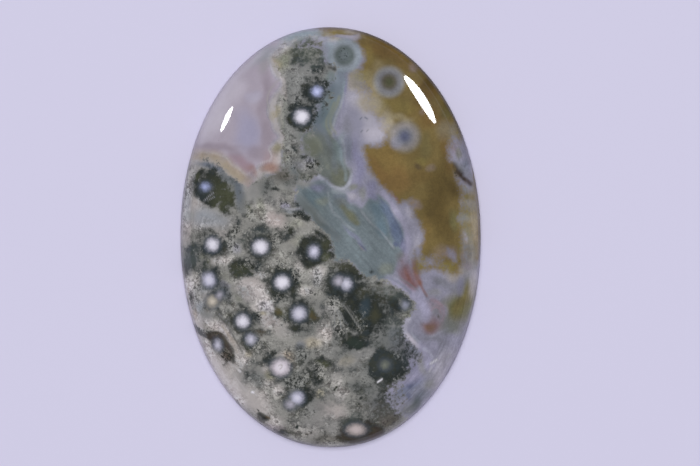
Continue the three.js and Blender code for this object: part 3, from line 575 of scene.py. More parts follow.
# Stains of the clear stone.
CLEAR_STAINS = [
    # the agate pocket
    ("pearl", -10.2, 9.4, 1.0, 1.9, -20, 0.7), ("lavender", -6.9, 8.8, 1.1, 1.8, 5, 0.9),
    ("lavender", -6.5, 11.7, 0.7, 0.55, 0, 0.6), ("plum", -5.5, 11.3, 0.4, 1.6, -8, 0.5),
    ("plum", -5.35, 8.6, 0.5, 1.4, 0, 0.6), ("plum", -9.3, 7.55, 1.9, 0.3, -4, 0.55),
    ("plum", -7.9, 6.9, 0.7, 0.4, -40, 0.5), ("rose", -7.1, 6.0, 0.95, 0.4, -42, 0.8),
    ("clay", -6.6, 5.6, 0.6, 0.3, -42, 0.5), ("rose", -8.0, 6.5, 0.6, 0.3, -40, 0.5),
    ("fog", -5.5, 14.4, 0.5, 0.9, -10, 0.5), ("plum", -5.15, 12.9, 0.55, 0.9, 10, 0.45),
    ("mist", -5.6, 15.2, 1.4, 0.5, 35, 0.7), ("mist", -1.9, 16.9, 1.8, 0.35, 8, 0.9),
    ("mist", -3.9, 16.0, 0.9, 0.4, 28, 0.8), ("clay", -4.95, 5.8, 0.95, 0.42, 8, 0.75),
    ("plum", -6.75, 4.7, 0.5, 0.9, 0, 0.6), ("straw", -4.75, 9.9, 0.25, 0.5, 0, 0.5),
    ("straw", -4.5, 7.5, 0.25, 0.35, 0, 0.5), ("olive", -3.6, 13.9, 0.35, 0.4, 0, 0.4),
    ("olive", -4.45, 7.35, 0.3, 0.5, 0, 0.5), ("clay", -4.9, 6.4, 0.7, 0.9, 0, 0.4),
    ("tan", -4.5, 14.8, 0.4, 0.35, 0, 0.6), ("opal", -8.7, 12.2, 1.9, 1.3, 55, 0.65),
    ("opal", -9.7, 10.2, 1.1, 1.8, -25, 0.75), ("opal", -7.0, 14.3, 1.9, 0.4, 40, 0.4),
    ("opal", -6.45, 11.65, 0.6, 0.55, 0, 0.35), ("plum", -6.1, 7.0, 1.0, 0.7, 20, 0.6),
    ("opal", 1.9, 16.9, 1.0, 0.4, -8, 0.9), ("milk", -4.0, 16.0, 0.6, 0.4, 20, 0.6),
    # the aqua band beside the moss column
    ("aqua", -2.4, 16.85, 1.9, 0.35, 8, 0.9), ("aqua", -0.1, 15.7, 0.45, 0.9, 8, 0.8),
    ("aqua", 0.9, 7.6, 0.3, 1.2, -8, 0.6), ("aqua", 0.7, 12.9, 0.6, 1.1, 0, 0.9),
    ("sea", 0.5, 11.7, 0.6, 1.0, -8, 0.8), ("sea", -0.1, 10.7, 0.7, 1.2, -20, 0.9),
    ("deep_sea", 0.0, 12.3, 0.5, 0.8, 0, 0.7), ("deep_sea", -0.9, 9.9, 0.6, 1.1, -20, 0.8),
    ("sea", -0.2, 9.5, 0.5, 0.8, -20, 0.8),
    # the chalcedony between
    ("milk", 3.6, 8.6, 0.8, 0.7, 0, 0.8), ("milk", 2.3, 11.3, 0.7, 1.3, 25, 0.8),
    ("opal", 3.6, 9.2, 1.0, 1.1, 0, 0.4), ("cream", 2.9, 11.0, 0.8, 1.0, 25, 0.35),
    ("milk", 3.1, 9.9, 0.8, 0.6, -30, 0.6), ("straw", 2.0, 13.0, 0.6, 0.7, 0, 0.5),
    ("straw", 2.9, 11.1, 0.6, 0.8, 25, 0.45), ("pewter", 1.3, 9.3, 0.5, 0.9, 0, 0.6),
    ("lilac", 2.2, 9.8, 0.8, 0.9, 0, 0.7), ("heather", 2.3, 6.2, 0.5, 1.9, 8, 0.8),
    ("heather", 1.2, 12.0, 0.14, 1.3, -6, 0.7), ("slate", 1.5, 7.4, 0.35, 1.2, 0, 0.7),
    ("slate", 1.05, 13.6, 0.5, 0.8, 0, 0.6), ("straw", 0.4, 16.45, 0.7, 0.25, -5, 0.6),
    ("lilac", 1.8, 16.8, 0.6, 0.15, -6, 0.8), ("lilac", -0.2, 15.4, 0.3, 0.5, 0, 0.7),
    ("slate", 0.6, 12.6, 0.35, 1.2, 0, 0.5), ("milk", 1.75, 3.5, 0.5, 0.3, -35, 0.9),
    ("sage", 2.0, 4.3, 0.4, 0.3, 0, 0.7), ("sage", 2.7, 3.6, 0.4, 0.5, 0, 0.5),
    ("heather", 3.6, 4.0, 0.5, 0.6, 0, 0.7), ("heather", 3.7, 3.3, 0.4, 0.3, 0, 0.7),
    ("milk", 5.5, 2.3, 0.35, 0.3, 0, 0.5),
    # the green glass
    ("green_glass", -1.4, 8.0, 0.9, 0.7, 0, 0.8), ("sea", 0.6, 7.4, 0.4, 1.2, -10, 0.6),
    ("olive", 0.8, 5.0, 0.7, 0.7, 0, 0.35), ("olive", -1.6, 7.5, 0.8, 0.8, 0, 0.3),
    ("slate", -0.9, 8.9, 0.6, 0.4, 0, 0.4),
    # the blue glass
    ("fog", -2.4, 4.55, 1.0, 0.4, -5, 0.9), ("spruce", -1.9, 2.7, 0.9, 0.6, -30, 0.5),
    ("deep_sea", -1.4, 3.3, 0.9, 0.8, -20, 0.8), ("spruce", -2.2, 2.1, 0.6, 0.5, 0, 0.6),
    ("slate", -0.9, 4.1, 1.0, 0.4, -10, 0.7), ("heather", -1.1, 4.15, 0.5, 0.25, 0, 0.5),
    ("sage", -0.7, 3.0, 0.5, 0.35, 0, 0.5), ("spruce", -1.0, 1.5, 1.1, 0.25, -48, 0.8),
    ("deep_sea", 0.1, 0.4, 0.9, 0.3, -42, 0.9), ("spruce", -0.8, 2.0, 0.8, 0.8, 0, 0.35),
    ("slate", 0.8, 3.4, 0.6, 0.4, 0, 0.6), ("smoke", 0.9, 2.8, 0.5, 0.4, 0, 0.6),
    ("olive", 1.75, 1.85, 0.75, 0.4, -35, 0.7), ("olive", 1.0, 2.4, 0.4, 0.25, -10, 0.5),
    ("olive", 2.3, 1.3, 0.25, 0.25, 0, 0.5), ("teal", 3.9, 2.3, 0.8, 0.6, -30, 0.8),
    ("denim", 4.9, 1.8, 0.4, 1.4, 28, 0.55), ("denim", 5.5, 0.5, 0.45, 1.0, 25, 0.6),
    ("ink_blue", 5.55, -0.3, 0.28, 0.22, 0, 0.8), ("teal", 4.2, 0.9, 0.5, 1.0, 20, 0.8),
    ("heather", 6.2, -0.6, 0.3, 0.8, 0, 0.8), ("heather", 2.1, 0.0, 1.2, 0.2, -40, 0.5),
    ("plum", 2.7, -0.8, 0.45, 0.12, -42, 0.5), ("sage", 4.6, -2.6, 0.6, 0.4, 0, 0.5),
    ("mist", 5.2, -3.4, 0.5, 0.3, -20, 0.5), ("soot", 3.35, -2.75, 0.17, 0.13, 0, 0.9),
    # the right edge and the lower right
    ("plum", 10.2, 7.3, 0.35, 0.5, 0, 0.6), ("olive", 10.6, 6.9, 0.25, 0.35, 0, 0.55),
    ("slate", 11.2, 5.8, 0.45, 0.6, 10, 0.7), ("mist", 11.2, 4.2, 0.35, 0.3, 0, 0.6),
    ("mustard", 11.4, 3.5, 0.35, 0.35, 0, 0.9), ("plum", 11.5, 2.7, 0.3, 0.4, 0, 0.6),
    ("mustard", 11.6, 1.8, 0.25, 0.2, 0, 0.8), ("fog", 11.1, 1.7, 0.3, 0.3, 0, 0.7),
    ("olive", 11.7, 0.6, 0.5, 0.5, 0, 0.7), ("mustard", 12.2, 1.8, 0.15, 1.2, 0, 0.8),
    ("mustard", 12.1, -0.5, 0.25, 0.7, 0, 0.8), ("sage", 11.7, 0.3, 0.9, 3.6, 0, 0.55),
    ("straw", 12.0, 1.0, 0.5, 3.6, 0, 0.5), ("milk", 11.3, 0.0, 0.25, 0.6, 10, 0.7),
    ("peat", 11.6, -1.5, 0.2, 0.2, 0, 0.3), ("plum", 11.6, -2.4, 0.4, 0.5, 0, 0.5),
    ("olive", 10.8, -5.7, 1.2, 1.8, -30, 1.0), ("olive", 11.8, -4.9, 0.8, 1.5, -15, 0.8),
    ("moss_olive", 10.5, -5.9, 0.6, 1.1, -25, 0.35), ("toffee", 10.9, -5.6, 0.6, 1.3, -20, 0.4),
    ("mustard", 11.5, -4.7, 0.5, 0.6, -30, 0.45), ("olive", 11.2, -6.3, 0.5, 0.8, -10, 0.6),
    ("lavender", 7.8, -5.4, 0.4, 1.1, 15, 0.5), ("pewter", 9.0, -3.6, 0.6, 0.4, 0, 0.8),
    ("pewter", 10.1, -3.9, 1.0, 0.5, 0, 0.6), ("heather", 10.8, -4.1, 0.3, 0.5, 0, 0.4),
    ("fog", 8.7, -4.7, 0.6, 0.4, 0, 0.5), ("plum", 9.0, -5.8, 0.9, 0.5, -30, 0.6),
    ("rose", 8.95, -6.15, 0.75, 0.6, -20, 0.3), ("pewter", 8.85, -6.25, 0.45, 0.4, 0, 0.8),
    ("lilac", 9.6, -6.3, 0.25, 0.5, 0, 0.6), ("plum", 8.2, -6.8, 0.6, 0.4, 0, 0.5),
    ("pewter", 7.9, -6.9, 0.6, 0.5, 0, 0.4), ("rust", 8.35, -7.35, 0.95, 0.6, 0, 0.7),
    ("toffee", 8.3, -7.3, 0.45, 0.3, 0, 0.45), ("peat", 9.05, -6.7, 0.1, 0.12, 0, 0.7),
    ("sage", 10.0, -7.6, 0.9, 0.5, 0, 0.5), ("pewter", 8.6, -8.8, 1.4, 1.0, 60, 0.5),
    ("opal", 9.2, -11.4, 2.4, 0.6, 56, 0.35), ("milk", 9.1, -10.9, 1.7, 0.7, 58, 0.8),
    ("spruce", 9.9, -7.5, 0.7, 0.6, 0, 0.3), ("lavender", 8.5, -9.2, 0.6, 0.6, 0, 0.5),
    ("lilac", 7.4, -7.8, 0.5, 0.6, 0, 0.5), ("lilac", 8.3, -9.6, 0.5, 1.0, 20, 0.5),
    ("heather", 6.8, -10.9, 0.4, 0.7, 10, 0.5), ("fog", 7.6, -10.8, 0.35, 0.8, 20, 0.5),
    ("sage", 8.1, -12.3, 0.5, 0.4, 30, 0.5), ("pewter", 8.6, -12.0, 0.6, 1.3, 38, 0.4),
    ("periwinkle", 6.6, -12.4, 1.2, 0.6, 35, 0.8), ("slate", 7.0, -13.0, 1.0, 0.5, 35, 0.4),
    ("slate", 7.1, -9.1, 0.6, 0.7, 0, 0.75), ("straw", 0.0, 17.1, 0.8, 0.3, 0, 0.6),
    ("opal", 12.0, -4.0, 0.4, 1.0, -10, 0.5), ("opal", 9.2, -12.0, 0.8, 0.5, 35, 0.4),
    ("straw", 10.5, -3.0, 1.0, 0.6, 0, 0.45), ("ink_blue", 6.75, -12.4, 0.25, 0.3, 0, 0.8),
    ("deep_sea", 7.7, -13.3, 0.8, 0.4, 40, 0.5), ("ink_blue", 6.6, -13.3, 0.25, 0.25, 0, 0.6),
    ("spruce", 7.1, -14.0, 0.8, 0.45, 35, 0.8), ("slate", 5.8, -13.0, 0.8, 0.5, 30, 0.5),
    ("smoke", 6.3, -14.3, 0.7, 0.5, 30, 0.6),
]

# Tints of the ochre, and painted shade in dark lines along the stone's upper right edge.
OCHRE_STAINS = [
    ("honey", 4.6, 6.4, 1.7, 1.4, 0, 0.7), ("amber", 5.6, 4.7, 1.3, 1.1, -20, 0.7),
    ("amber", 4.0, 5.6, 0.5, 1.3, 30, 0.7), ("umber", 9.3, 4.3, 1.3, 1.7, 0, 0.8),
    ("umber", 8.6, 2.5, 1.0, 1.3, 0, 0.6), ("umber", 9.4, 1.2, 1.2, 1.6, 0, 0.7),
    ("umber", 9.6, 6.6, 0.5, 1.4, 8, 0.5), ("toffee", 10.0, 6.1, 0.4, 0.8, 0, 0.5),
    ("umber", 10.3, 3.8, 0.5, 0.8, 0, 0.6), ("toffee", 7.6, 5.2, 0.9, 0.6, 0, 0.4),
    ("toffee", 8.4, 12.5, 0.8, 2.6, -40, 0.9), ("umber", 8.3, 12.7, 0.5, 1.8, -40, 0.7),
    ("toffee", 4.4, 15.7, 1.7, 0.7, -15, 0.8), ("toffee", 6.0, 14.6, 1.0, 0.5, -35, 0.5),
    ("umber", 9.7, 10.9, 0.4, 1.2, -25, 0.5), ("toffee", 8.4, 9.9, 0.7, 1.0, 0, 0.6),
    ("mustard", 2.5, 13.4, 0.8, 0.6, 0, 0.8), ("mustard", 4.0, 11.2, 0.9, 0.7, -20, 0.6),
    ("mustard", 0.9, 17.1, 1.2, 0.25, 0, 0.6), ("mustard", 3.2, 15.3, 0.5, 0.9, 0, 0.3),
    ("mustard", 6.1, 10.9, 1.2, 0.6, 0, 0.35), ("olive", 7.8, 7.6, 0.6, 1.0, 0, 0.3),
    ("olive", 9.7, 10.6, 0.4, 0.5, 0, 0.4), ("mustard", 7.6, 6.4, 0.5, 0.35, 0, 0.5),
    ("plum", 8.5, 5.8, 0.45, 0.3, 0, 0.25), ("umber_moss", 7.4, 5.87, 0.25, 0.2, 0, 0.5),
    ("plum", 6.9, 14.2, 0.45, 0.35, -30, 0.4), ("plum", 7.6, 10.4, 0.3, 0.3, 0, 0.35),
    ("plum", 7.2, 2.85, 0.5, 0.45, 0, 0.4), ("plum", 9.8, -1.2, 1.0, 0.5, -10, 0.3),
    ("plum", 10.1, -1.6, 0.3, 0.5, 40, 0.6), ("mustard", 9.9, -2.5, 0.8, 0.35, 0, 0.7),
    ("mustard", 7.7, -2.0, 0.5, 0.6, 0, 0.6), ("mustard", 10.8, -1.3, 0.3, 0.9, 0, 0.6),
    ("olive", 10.4, 1.3, 0.4, 0.9, 0, 0.6), ("honey", 8.0, 0.6, 0.35, 1.2, 0, 0.5),
    ("straw", 7.3, -0.5, 0.25, 0.8, 0, 0.35), ("rust", 5.4, 3.25, 0.6, 0.15, -45, 0.6),
    ("straw", 3.0, 12.4, 1.1, 1.4, -30, 0.55), ("straw", 3.9, 11.0, 0.8, 0.6, -40, 0.5),
    ("straw", 4.6, 9.8, 0.8, 0.9, 20, 0.6), ("cream", 4.6, 9.3, 0.8, 0.9, 0, 0.4),
    ("cream", 3.5, 11.0, 0.7, 1.0, -30, 0.3), ("mist", 2.1, 13.0, 0.6, 0.7, 0, 0.35),
    ("cream", 2.0, 17.0, 0.8, 0.3, -8, 0.5), ("straw", 5.9, 10.0, 0.9, 0.35, -15, 0.5),
    ("straw", 4.0, 14.2, 0.6, 0.6, 0, 0.3), ("toffee", 9.6, 7.6, 0.4, 0.9, 0, 0.6),
    ("mist", 9.7, 9.0, 0.8, 0.9, 0, 0.15), ("fog", 10.4, 9.1, 0.5, 0.7, 0, 0.3),
    ("mustard", 11.0, 8.5, 0.5, 0.5, 0, 0.6), ("mist", 11.6, 2.7, 0.4, 0.4, 0, 0.5),
    ("mist", 11.4, 1.5, 0.45, 0.3, 0, 0.5), ("straw", 12.2, 2.2, 0.25, 1.8, 0, 0.6),
    # Painted shade: the umber lines at (7.2, 14.9), (9.7, 12.1) and (11.3, 9.0) and the bark line at (4.6,
    # 16.8) run along the upper right edge and darken it.
    ("tan", 12.25, 0.0, 0.2, 1.4, 0, 0.4), ("umber", 7.2, 14.9, 1.9, 0.4, -42, 0.8),
    ("umber", 9.7, 12.1, 2.1, 0.5, -56, 0.9), ("toffee", 8.2, 9.8, 1.0, 0.9, 0, 0.6),
    ("umber", 11.3, 9.0, 1.9, 0.4, -70, 0.8), ("bark", 4.6, 16.8, 2.6, 0.3, -21, 0.9),
    ("mustard", 11.5, 3.2, 0.6, 0.9, 0, 0.5), ("fog", 11.4, 2.9, 0.3, 0.3, 0, 0.5),
    ("straw", 11.9, 1.0, 0.6, 3.0, 0, 0.35), ("mustard", 11.2, 1.8, 0.5, 1.6, 0, 0.6),
    ("plum", 11.2, -1.6, 0.5, 0.4, 0, 0.4), ("straw", 5.0, 9.6, 0.4, 0.3, 40, 0.5),
]

# Tints of the ground that the moss grows in, which is cream in its clearings and grey elsewhere.
GROUND_STAINS = [
    ("fog", -2.0, 12.5, 2.4, 4.6, 0, 1.0), ("smoke", -2.4, 10.9, 1.8, 4.2, 0, 0.42),
    ("sage", -2.0, 15.6, 1.8, 0.9, 0, 0.6), ("sage", -4.0, 14.9, 0.7, 0.9, 0, 0.9),
    ("straw", -4.5, 14.4, 0.4, 0.5, 0, 0.5), ("straw", -4.6, 10.2, 0.35, 0.9, 0, 0.8),
    ("sage", -3.9, 10.0, 0.4, 2.2, 0, 0.4), ("shell", -3.8, 12.5, 0.25, 0.8, 8, 0.8),
    ("shell", -4.3, 8.5, 0.5, 0.3, 0, 0.6), ("fog", -3.0, 7.0, 1.5, 1.8, 0, 0.9),
    ("straw", -4.4, 7.4, 0.4, 0.45, 0, 0.8), ("fog", -2.7, 4.7, 1.2, 0.6, 0, 0.9),
    ("smoke", -3.6, 5.2, 1.4, 0.9, 0, 0.8), ("sage", -3.9, 6.6, 0.6, 0.5, 0, 0.5),
    ("rust", -4.75, 5.75, 0.7, 0.4, 8, 0.4), ("bark", -4.7, 5.6, 0.7, 0.4, 8, 0.3),
    ("tan", -4.9, 5.8, 0.6, 0.4, 0, 0.4), ("peat", -4.0, 5.0, 0.6, 0.5, 0, 0.6),
    ("deep_sea", -2.9, 5.3, 0.35, 0.8, 0, 0.6), ("lilac", -1.7, 6.5, 0.4, 0.3, 0, 0.6),
    ("lilac", -2.5, 6.0, 0.6, 0.4, 0, 0.4), ("sage", -1.7, 5.0, 0.7, 0.4, 0, 0.5),
    ("aqua", -0.2, 15.2, 0.45, 0.8, 0, 0.8), ("aqua", -2.4, 16.5, 1.9, 0.4, 8, 0.7),
    ("sea", -0.1, 13.3, 0.6, 0.6, 0, 0.7), ("sea", -0.1, 12.4, 0.5, 1.3, -10, 0.8),
    ("deep_sea", -0.8, 10.8, 0.6, 1.2, -25, 0.9), ("deep_sea", -1.2, 9.7, 0.5, 0.7, -10, 0.9),
    ("green_glass", -2.0, 8.1, 0.8, 0.8, 0, 0.8), ("green_glass", -1.7, 7.0, 0.8, 0.5, 0, 0.6),
    ("smoke", -5.2, 4.3, 0.7, 0.7, 0, 0.7), ("smoke", -6.9, 4.1, 0.6, 0.9, 0, 0.4),
    ("fog", -6.7, 3.4, 0.8, 1.0, 0, 0.8), ("smoke", -6.0, 4.1, 0.7, 0.7, 0, 0.5),
    ("fog", -4.9, 3.2, 1.0, 0.7, 0, 0.6), ("sage", -5.8, 2.6, 0.35, 0.8, 0, 0.6),
    ("lavender", -3.65, 2.7, 0.35, 0.3, 0, 0.8), ("mist", -3.2, 2.2, 0.6, 0.2, 0, 0.8),
    ("slate", -8.6, 5.0, 0.9, 0.4, -35, 0.8), ("slate", -7.6, 3.6, 0.4, 1.4, 8, 0.9),
    ("slate", -10.0, 5.9, 1.3, 0.35, -10, 0.9), ("fog", -11.4, 5.6, 0.6, 0.5, 30, 0.8),
    ("mist", -8.4, 4.9, 0.3, 0.3, 0, 0.4), ("fog", -11.6, 4.4, 0.4, 1.0, 0, 0.7),
    ("mist", -10.2, 1.9, 1.5, 0.7, -10, 0.6), ("fog", -8.6, 1.4, 0.9, 0.6, 0, 0.6),
    ("bone", -11.9, 1.2, 0.5, 1.2, 0, 0.8), ("sage", -11.9, 1.7, 0.4, 0.5, 0, 0.5),
    ("shell", -4.5, 1.4, 0.9, 0.7, 0, 0.9), ("sage", -2.7, 1.1, 0.7, 0.3, 0, 0.6),
    ("sage", -2.9, -0.3, 0.8, 0.5, 0, 0.5), ("fog", -8.2, -0.8, 0.8, 0.8, 0, 0.7),
    ("lilac", -7.8, -1.0, 0.4, 0.4, 0, 0.4), ("sage", -10.6, -1.6, 0.7, 0.4, 0, 0.7),
    ("slate", -11.7, -1.9, 0.4, 0.5, 0, 0.7), ("smoke", -11.5, -0.8, 0.6, 0.7, 0, 0.7),
    ("sage", -8.6, -3.3, 0.5, 0.4, 0, 0.3), ("lilac", -8.8, -3.9, 0.5, 0.3, 0, 0.5),
    ("mist", -10.75, -5.55, 0.45, 0.6, 0, 0.8), ("smoke", -11.3, -5.0, 0.3, 1.2, 5, 0.7),
    ("slate", -10.3, -6.5, 0.8, 0.5, 0, 0.25), ("smoke", -8.6, 5.1, 0.7, 0.35, -30, 0.7),
    ("smoke", -7.25, 2.7, 0.4, 1.0, 0, 0.7), ("bark", -8.75, -10.1, 0.5, 0.8, 15, 0.9),
    ("bark", -9.6, -8.2, 0.9, 0.4, -15, 0.7), ("cream", -7.7, -12.7, 0.9, 2.4, 40, 0.45),
    ("tan", -9.75, -5.4, 0.6, 0.6, 0, 0.4), ("slate", -8.9, -4.6, 0.5, 0.8, 0, 0.6),
    ("shell", -6.4, -4.4, 1.2, 0.8, -20, 0.4), ("chalk", -5.9, -4.9, 0.9, 0.9, 0, 0.4),
    ("milk", -5.3, -5.8, 0.7, 0.5, 0, 0.5), ("sage", -7.6, -4.9, 0.4, 0.3, 0, 0.5),
    ("shell", -5.0, -7.0, 0.9, 0.5, 0, 0.7), ("straw", -5.6, -6.5, 0.3, 0.2, 0, 0.5),
    ("milk", -8.6, -7.8, 0.9, 0.4, -50, 0.4), ("tan", -8.2, -8.3, 0.2, 0.9, 35, 0.4),
    ("shell", -9.3, -7.4, 1.2, 0.3, 0, 0.5), ("tan", -11.3, -6.3, 0.3, 0.5, 0, 0.5),
    ("straw", -6.9, -9.8, 0.4, 0.25, 20, 0.5), ("fog", -6.6, -11.7, 1.2, 0.9, 0, 0.8),
    ("smoke", -5.8, -11.9, 0.8, 0.5, 0, 0.5), ("olive", -4.8, -11.5, 0.6, 0.5, 0, 0.6),
    ("tan", -3.5, -9.8, 0.55, 0.45, 0, 0.7), ("straw", -1.5, -8.9, 0.7, 0.5, 0, 0.5),
    ("slate", -2.3, -9.1, 0.4, 0.4, 0, 0.6), ("bone", -0.4, -7.8, 0.8, 0.8, 0, 0.45),
    ("fog", -0.3, -6.2, 0.8, 0.5, 0, 0.6), ("fog", -0.2, -9.2, 0.8, 0.7, 0, 0.6),
    ("straw", 1.4, -10.3, 0.6, 0.5, 0, 0.6), ("fog", 1.6, -11.0, 1.2, 1.0, 0, 0.5),
    ("smoke", 2.6, -12.6, 1.2, 0.7, 0, 0.8), ("fog", 0.6, -13.0, 1.0, 0.7, 0, 0.6),
    ("shell", 0.1, -14.4, 1.3, 0.8, 0, 0.4), ("fog", 0.5, -15.8, 1.4, 0.9, 0, 0.6),
    ("fog", -1.5, -14.9, 1.2, 0.8, 0, 0.6), ("straw", -0.8, -13.1, 0.4, 0.4, 0, 0.5),
    ("smoke", 4.2, -13.6, 1.2, 0.8, 0, 0.8), ("smoke", 4.9, -14.9, 1.3, 0.9, 0, 0.9),
    ("peat", 5.0, -15.6, 0.9, 0.6, 20, 0.6), ("peat", -3.8, -16.3, 1.2, 0.35, 0, 0.5),
    ("plum", -4.5, -15.9, 1.0, 0.3, -15, 0.5), ("peat", 0.5, -17.0, 3.0, 0.3, 0, 0.5),
    ("peat", -9.3, -8.5, 1.1, 0.7, -20, 0.8), ("chalk", -9.6, -10.9, 0.8, 2.4, 28, 1.0),
    ("chalk", -8.0, -12.6, 0.5, 1.8, 42, 0.8), ("chalk", -10.9, -8.9, 0.4, 1.4, 20, 0.8),
    ("chalk", -11.7, -6.0, 0.35, 2.2, 10, 0.7), ("chalk", -11.9, -3.9, 0.3, 1.0, 0, 0.7),
    ("cream", -6.3, -13.3, 0.8, 1.2, 48, 0.8), ("fog", -10.9, -4.3, 0.6, 1.0, 0, 0.8),
    ("mist", -10.4, 1.4, 1.6, 0.8, -5, 0.7), ("mist", -12.1, 3.4, 0.4, 2.4, 0, 0.6),
    ("spruce", -12.0, -1.8, 0.5, 0.9, 0, 0.5), ("fog", 4.2, -7.3, 0.7, 0.6, 0, 0.7),
    ("smoke", 4.6, -10.5, 2.6, 2.0, 0, 0.8), ("smoke", 3.2, -6.2, 2.8, 2.0, -50, 0.7),
    ("smoke", 6.4, -9.5, 0.9, 1.3, 0, 0.8), ("chalk", -7.0, -4.4, 1.0, 0.6, -30, 0.5),
    ("smoke", -2.6, -7.9, 1.4, 0.5, 0, 0.5), ("smoke", 1.4, -9.6, 1.2, 0.6, 0, 0.7),
    ("smoke", -1.2, -14.0, 1.0, 0.7, 0, 0.5), ("smoke", -2.2, -10.0, 1.0, 0.8, 0, 0.5),
    ("smoke", 5.0, -8.6, 1.8, 1.2, 0, 0.9), ("fog", 3.0, -9.8, 0.9, 0.5, 0, 0.8),
    ("smoke", 4.3, -5.0, 1.6, 1.2, 0, 0.7), ("sage", 6.5, -6.2, 0.4, 0.5, 0, 0.6),
    ("slate", 5.6, -8.2, 0.7, 0.8, 0, 0.4), ("pewter", 5.5, -9.1, 0.8, 0.3, 0, 0.6),
    ("deep_teal", -2.4, 2.6, 0.8, 0.35, -38, 0.75), ("smoke", -3.2, 4.6, 1.2, 0.7, 0, 0.55),
    ("peat", -4.3, 4.95, 0.8, 0.4, -10, 0.4), ("smoke", -1.1, 5.8, 0.6, 0.9, 0, 0.5),
    ("frost", -1.2, -3.3, 0.5, 0.7, 0, 0.2), ("fog", 0.3, -7.4, 0.4, 2.2, 0, 0.5),
    ("opal", -2.0, 17.0, 1.0, 0.4, -8, 0.5), ("opal", -4.5, 15.6, 1.3, 0.45, 35, 0.5),
    ("dusk", 6.6, -9.7, 1.0, 1.3, 0, 0.85), ("dusk", 4.8, -13.7, 1.7, 1.3, 20, 0.35),
    ("bark", 5.0, -15.2, 0.9, 0.6, 30, 0.5), ("smoke", 1.5, -3.5, 1.8, 1.4, 0, 0.5),
    ("spruce", -8.0, 4.0, 0.6, 1.0, 25, 0.4), ("smoke", -3.0, 6.0, 0.8, 0.8, 0, 0.5),
    ("smoke", -3.0, -12.0, 1.3, 0.8, 0, 0.5), ("mist", -10.2, -4.2, 0.8, 0.4, 0, 0.5),
    ("peat", 2.2, -16.3, 1.5, 1.0, 0, 0.5), ("fog", 3.0, -4.0, 0.6, 0.6, 0, 0.6),
]

# Tints of the moss itself, which is bottle green where nothing else is said.
MOSS_STAINS = [
    ("moss_olive", -2.2, 15.4, 1.6, 0.9, 0, 0.5), ("spruce", -2.0, 15.6, 1.6, 0.9, 0, 0.6),
    ("spruce", -2.2, 14.4, 1.4, 0.5, 0, 0.7), ("spruce", -0.5, 14.7, 0.5, 0.4, 0, 0.7),
    ("moss_olive", -9.0, 3.6, 1.7, 1.1, -42, 0.7), ("moss_olive", -11.0, 4.9, 0.3, 0.4, 0, 0.6),
    ("moss_olive", -9.4, 2.6, 0.4, 0.3, 0, 0.6), ("moss_olive", -6.7, 2.2, 0.4, 0.8, 0, 0.9),
    ("moss_olive", -7.3, -2.9, 1.0, 0.6, -12, 0.6), ("moss_olive", -0.3, -1.7, 0.4, 0.5, 0, 0.9),
    ("moss_olive", -0.4, -0.5, 0.4, 0.6, 0, 0.4), ("moss_olive", -1.35, -6.4, 0.6, 0.5, 0, 1.0),
    ("toffee", -1.3, -6.5, 0.5, 0.35, -20, 0.4), ("moss_olive", -4.3, -6.1, 0.6, 0.7, 0, 1.0),
    ("toffee", -4.4, -6.1, 0.4, 0.5, 0, 0.3), ("moss_olive", -0.5, -10.6, 0.6, 0.4, 0, 0.8),
    ("moss_olive", -10.2, -2.4, 0.5, 0.4, 0, 0.8), ("bark", -5.45, -15.0, 0.7, 0.5, 0, 0.7),
    ("coal", -10.0, 4.2, 0.6, 0.6, 0, 0.3), ("umber_moss", -9.4, -8.5, 1.4, 0.8, -10, 0.9),
    ("umber_moss", -8.8, -9.6, 0.8, 0.9, 0, 0.7), ("peat", -5.8, -8.0, 0.6, 0.5, 0, 0.9),
    ("bark", 2.2, -16.3, 1.7, 1.1, 0, 0.85), ("bark", 3.7, -16.3, 0.8, 0.6, 0, 0.8),
    ("bark", -1.75, -16.3, 0.6, 0.2, 0, 0.9), ("deep_teal", 2.85, -5.8, 0.5, 0.8, 0, 0.9),
    ("moss_brown", 2.7, -4.7, 0.7, 0.5, 0, 0.8), ("moss_blue", 4.4, -10.5, 1.2, 1.2, 0, 0.5),
    ("deep_moss", 2.2, -8.9, 0.7, 0.5, 0, 0.9), ("moss_brown", 3.7, -6.7, 0.5, 0.7, 0, 0.8),
    ("moss_brown", 1.0, -2.5, 0.9, 0.4, -10, 0.8), ("spruce", -11.7, -1.9, 0.6, 0.7, 0, 0.8),
    ("spruce", -11.4, -0.8, 0.6, 0.6, 0, 0.6), ("spruce", 1.8, -15.2, 1.0, 0.6, 0, 0.6),
    ("spruce", 5.0, -4.6, 1.2, 0.5, -15, 0.6), ("spruce", 5.5, -7.4, 0.9, 0.9, 0, 0.6),
    ("moss_blue", 6.6, -9.8, 1.0, 1.2, 0, 0.6), ("deep_teal", -2.3, 2.3, 0.8, 0.4, -30, 0.5),
    ("spruce", -7.4, -0.5, 0.5, 0.4, 0, 0.6), ("spruce", -6.0, 0.6, 0.8, 0.4, 0, 0.4),
]

